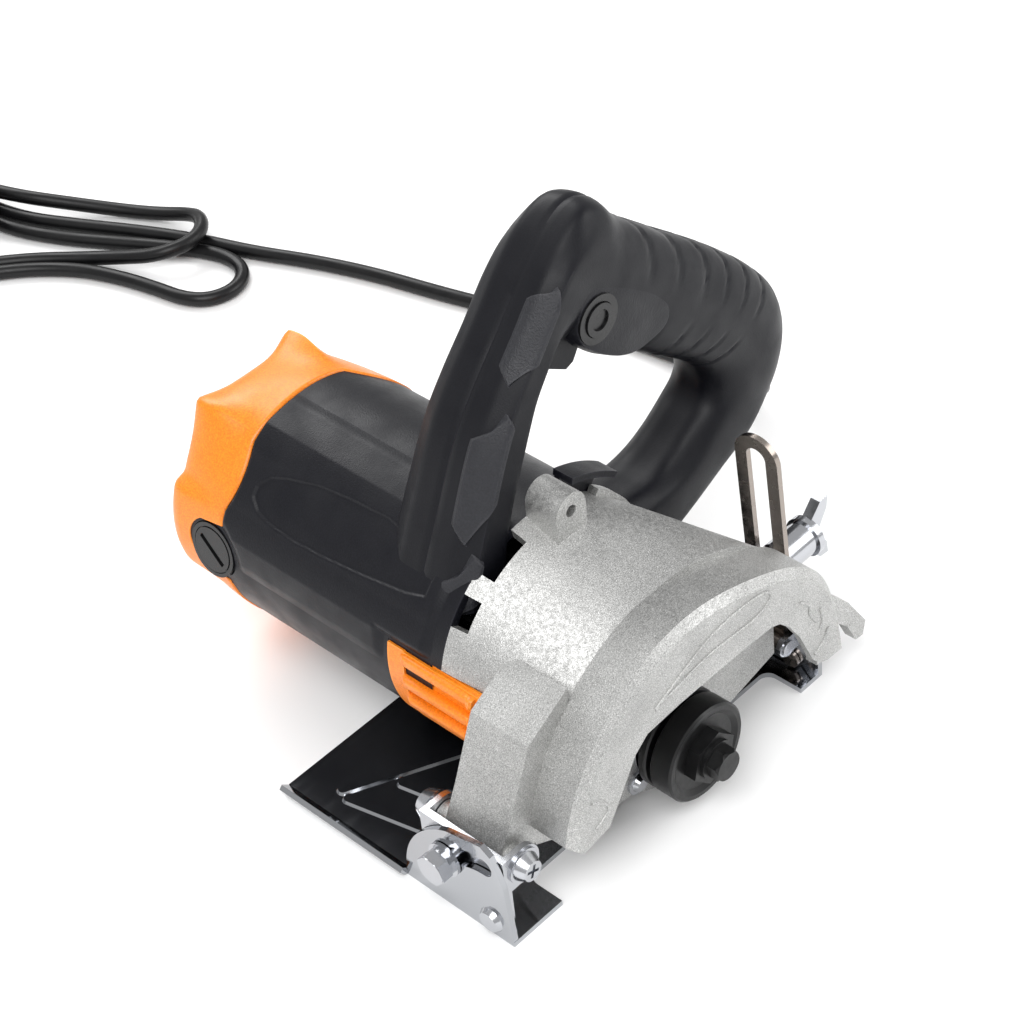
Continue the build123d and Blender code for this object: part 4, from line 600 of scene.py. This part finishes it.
def leaf_height(degrees, y):
    """1 inside the leaf, 0 outside, with a soft border of a millimetre."""
    if not LEAF[0][0] <= y <= LEAF[-1][0]:
        return 0
    for (y0, upper0, lower0), (y1, upper1, lower1) in zip(LEAF, LEAF[1:]):
        if y <= y1:
            t = (y - y0) / (y1 - y0)
            upper, lower = upper0 + (upper1 - upper0) * t, lower0 + (lower1 - lower0) * t
            inside = min(degrees - upper, lower - degrees, 1.4 * (LEAF[-1][0] - y), 1.4 * (y - LEAF[0][0]))
            return smooth_step(-0.1, 0.9, inside)
    return 0


def make_housing_panels():
    """A skin over the front side of the housing: two soft creases and the leaf panel."""
    points, faces = [], []
    rows, cols = 180, 150
    low, high, near, far = 92.0, 182.0, 4.0, 99.5
    for i in range(rows + 1):
        y = near + (far - near) * i / rows
        for k in range(cols + 1):
            degrees = low + (high - low) * k / cols
            rise = 0.9 + 1.1 * max(0, 1 - abs(degrees - 163.5) / 13) ** 1.3
            rise += 0.9 * max(0, 1 - abs(degrees - 113) / 12) ** 1.3
            rise -= 0.8 * leaf_height(degrees, y)
            fade = smooth_step(low, low + 8, degrees) * smooth_step(high, high - 8, degrees)
            fade *= smooth_step(near, near + 5, y)
            fade *= smooth_step(0.0108, 0.0155, brush_distance(degrees, y * MM))
            fade *= smooth_step(0.1, 1.1, seam_y(degrees) / MM - 0.1 - y)
            if y < 29:
                fade *= max(smooth_step(24, 29, y), smooth_step(166, 161, degrees))
            points.append(shell_point(degrees, y * MM,
                                      SHELL_R + (rise * fade - 0.25 * (1 - fade) + 0.1) * MM))
    for i in range(rows):
        for k in range(cols):
            a = i * (cols + 1) + k
            faces.append((a, a + 1, a + cols + 2, a + cols + 1))
    piece = new_mesh_piece("housing_panels", points, faces)
    return finish_piece(piece, "saw_body", "black_plastic")


def make_vent_bar(number, degrees, half_width, near, far, height):
    """A proud rounded bar along the vent, with a small hook at its blade-side end."""
    stations = [(far, -0.6, 0.5), (far - 1.2, height * 0.55, 0.85), (far - 3, height, 1),
                (near + 4.4, height, 1), (near + 3.2, height - 0.5, 0.9), (near + 2.4, height + 0.7, 1.0),
                (near + 1.0, height + 1.0, 1.0), (near + 0.2, height + 0.4, 0.9), (near, -0.6, 0.6)]
    ring, points, faces = 14, [], []
    for y, top, wide in stations:
        for k in range(ring):
            angle = math.pi * k / (ring - 1)
            side = math.copysign(abs(math.cos(angle)) ** 0.5, math.cos(angle)) * half_width * wide
            up = max(0, math.sin(angle)) ** 0.5 * (top + 2.0) - 2.0
            points.append(shell_point(degrees + side / 44 * 180 / math.pi, y * MM, SHELL_R + up * MM))
    for i in range(len(stations) - 1):
        for k in range(ring):
            after = (k + 1) % ring
            faces.append((i * ring + k, i * ring + after, (i + 1) * ring + after, (i + 1) * ring + k))
    faces.append(tuple(range(ring)))
    last = (len(stations) - 1) * ring
    faces.append(tuple(range(last, last + ring)))
    piece = new_mesh_piece("vent_bar_%d" % number, points, faces, 35)
    return finish_piece(piece, "saw_body", "orange_plastic")


make_end_cap()
make_housing_panels()
for number, degrees in enumerate((170.5, 182, 194)):
    make_vent_bar(number + 1, degrees, 2.1, -15.8, 17.5, 2.5)

# ---------------------------------------------------------------- cast mould lines on the blade guard
GUARD_FACE_Y = -59.6
CRESCENT = [(-15, 61), (7, 71), (22, 73), (38, 71), (40, 66), (34, 63), (20, 64), (7, 65), (-15, 61)]
REAR_MARKS = [[(53, 54), (59, 49), (57, 46), (61, 40)], [(63, 44), (66, 37), (62, 34)],
              [(67, 33), (66, 27), (60, 26)]]
FRONT_MARK = [(-45, 45), (-38, 40), (-38, 35), (-44, 33)]


def mould_line(name, places, radius=0.0006):
    points = [Vector((x, GUARD_FACE_Y, z)) * MM for x, z in places]
    line = nurbs_curve(name, points, radius, 8)
    line.data.bevel_resolution = 3
    return finish_piece(line, "saw_body", "cast_aluminium")


mould_line("guard_crescent", CRESCENT)
for number, places in enumerate(REAR_MARKS):
    mould_line("guard_rear_mark_%d" % (number + 1), places)
mould_line("guard_front_mark", FRONT_MARK)

# ---------------------------------------------------------------- floor, light and camera
def floor_stage():
    mesh = bpy.data.meshes.new("floor")
    build = bmesh.new()
    bmesh.ops.create_grid(build, x_segments=2, y_segments=2, size=6)
    build.to_mesh(mesh)
    floor = bpy.data.objects.new("floor", mesh)
    bpy.context.scene.collection.objects.link(floor)
    material, tree, shader = new_material("pale_floor", (0.93, 0.93, 0.93), 0.75)
    mesh.materials.append(material)


def area_light(name, place, aim, size, power, color=(1, 1, 1)):
    data = bpy.data.lights.new(name, "AREA")
    data.shape = "RECTANGLE"
    data.size, data.size_y = size
    data.energy = power
    data.color = color
    light = bpy.data.objects.new(name, data)
    bpy.context.scene.collection.objects.link(light)
    light.location = place
    light.rotation_euler = (Vector(aim) - Vector(place)).to_track_quat("-Z", "Y").to_euler()


floor_stage()
area_light("key", (-0.9, -0.5, 1.5), (0, 0.03, 0.06), (1.1, 1.1), 23)
area_light("fill", (1.1, -1.0, 0.9), (0, 0, 0.06), (1.2, 0.9), 12)
area_light("back", (0.5, 1.4, 1.3), (0, 0.03, 0.08), (1.4, 0.8), 20)
world = bpy.data.worlds.new("studio")
world.use_nodes = True
world.node_tree.nodes["Background"].inputs["Color"].default_value = (1, 1, 1, 1)
world.node_tree.nodes["Background"].inputs["Strength"].default_value = 0.62
bpy.context.scene.world = world
bpy.context.scene.view_settings.view_transform = "Standard"

CAMERA_PLACE = Vector((-0.4166, -0.4465, 0.6327))
CAMERA_RIGHT = Vector((0.684088, -0.724502, -0.084382))
CAMERA_DOWN = Vector((-0.524376, -0.408085, -0.747326))
CAMERA_FORWARD = Vector((0.507004, 0.555484, -0.659078))
camera_data = bpy.data.cameras.new("camera")
camera_data.sensor_width = 36
camera_data.lens = 93.9
camera_data.clip_start = 0.01
camera = bpy.data.objects.new("camera", camera_data)
bpy.context.scene.collection.objects.link(camera)
turn = Matrix((CAMERA_RIGHT, -CAMERA_DOWN, -CAMERA_FORWARD)).transposed()
camera.matrix_world = Matrix.Translation(CAMERA_PLACE) @ turn.to_4x4()
bpy.context.scene.camera = camera
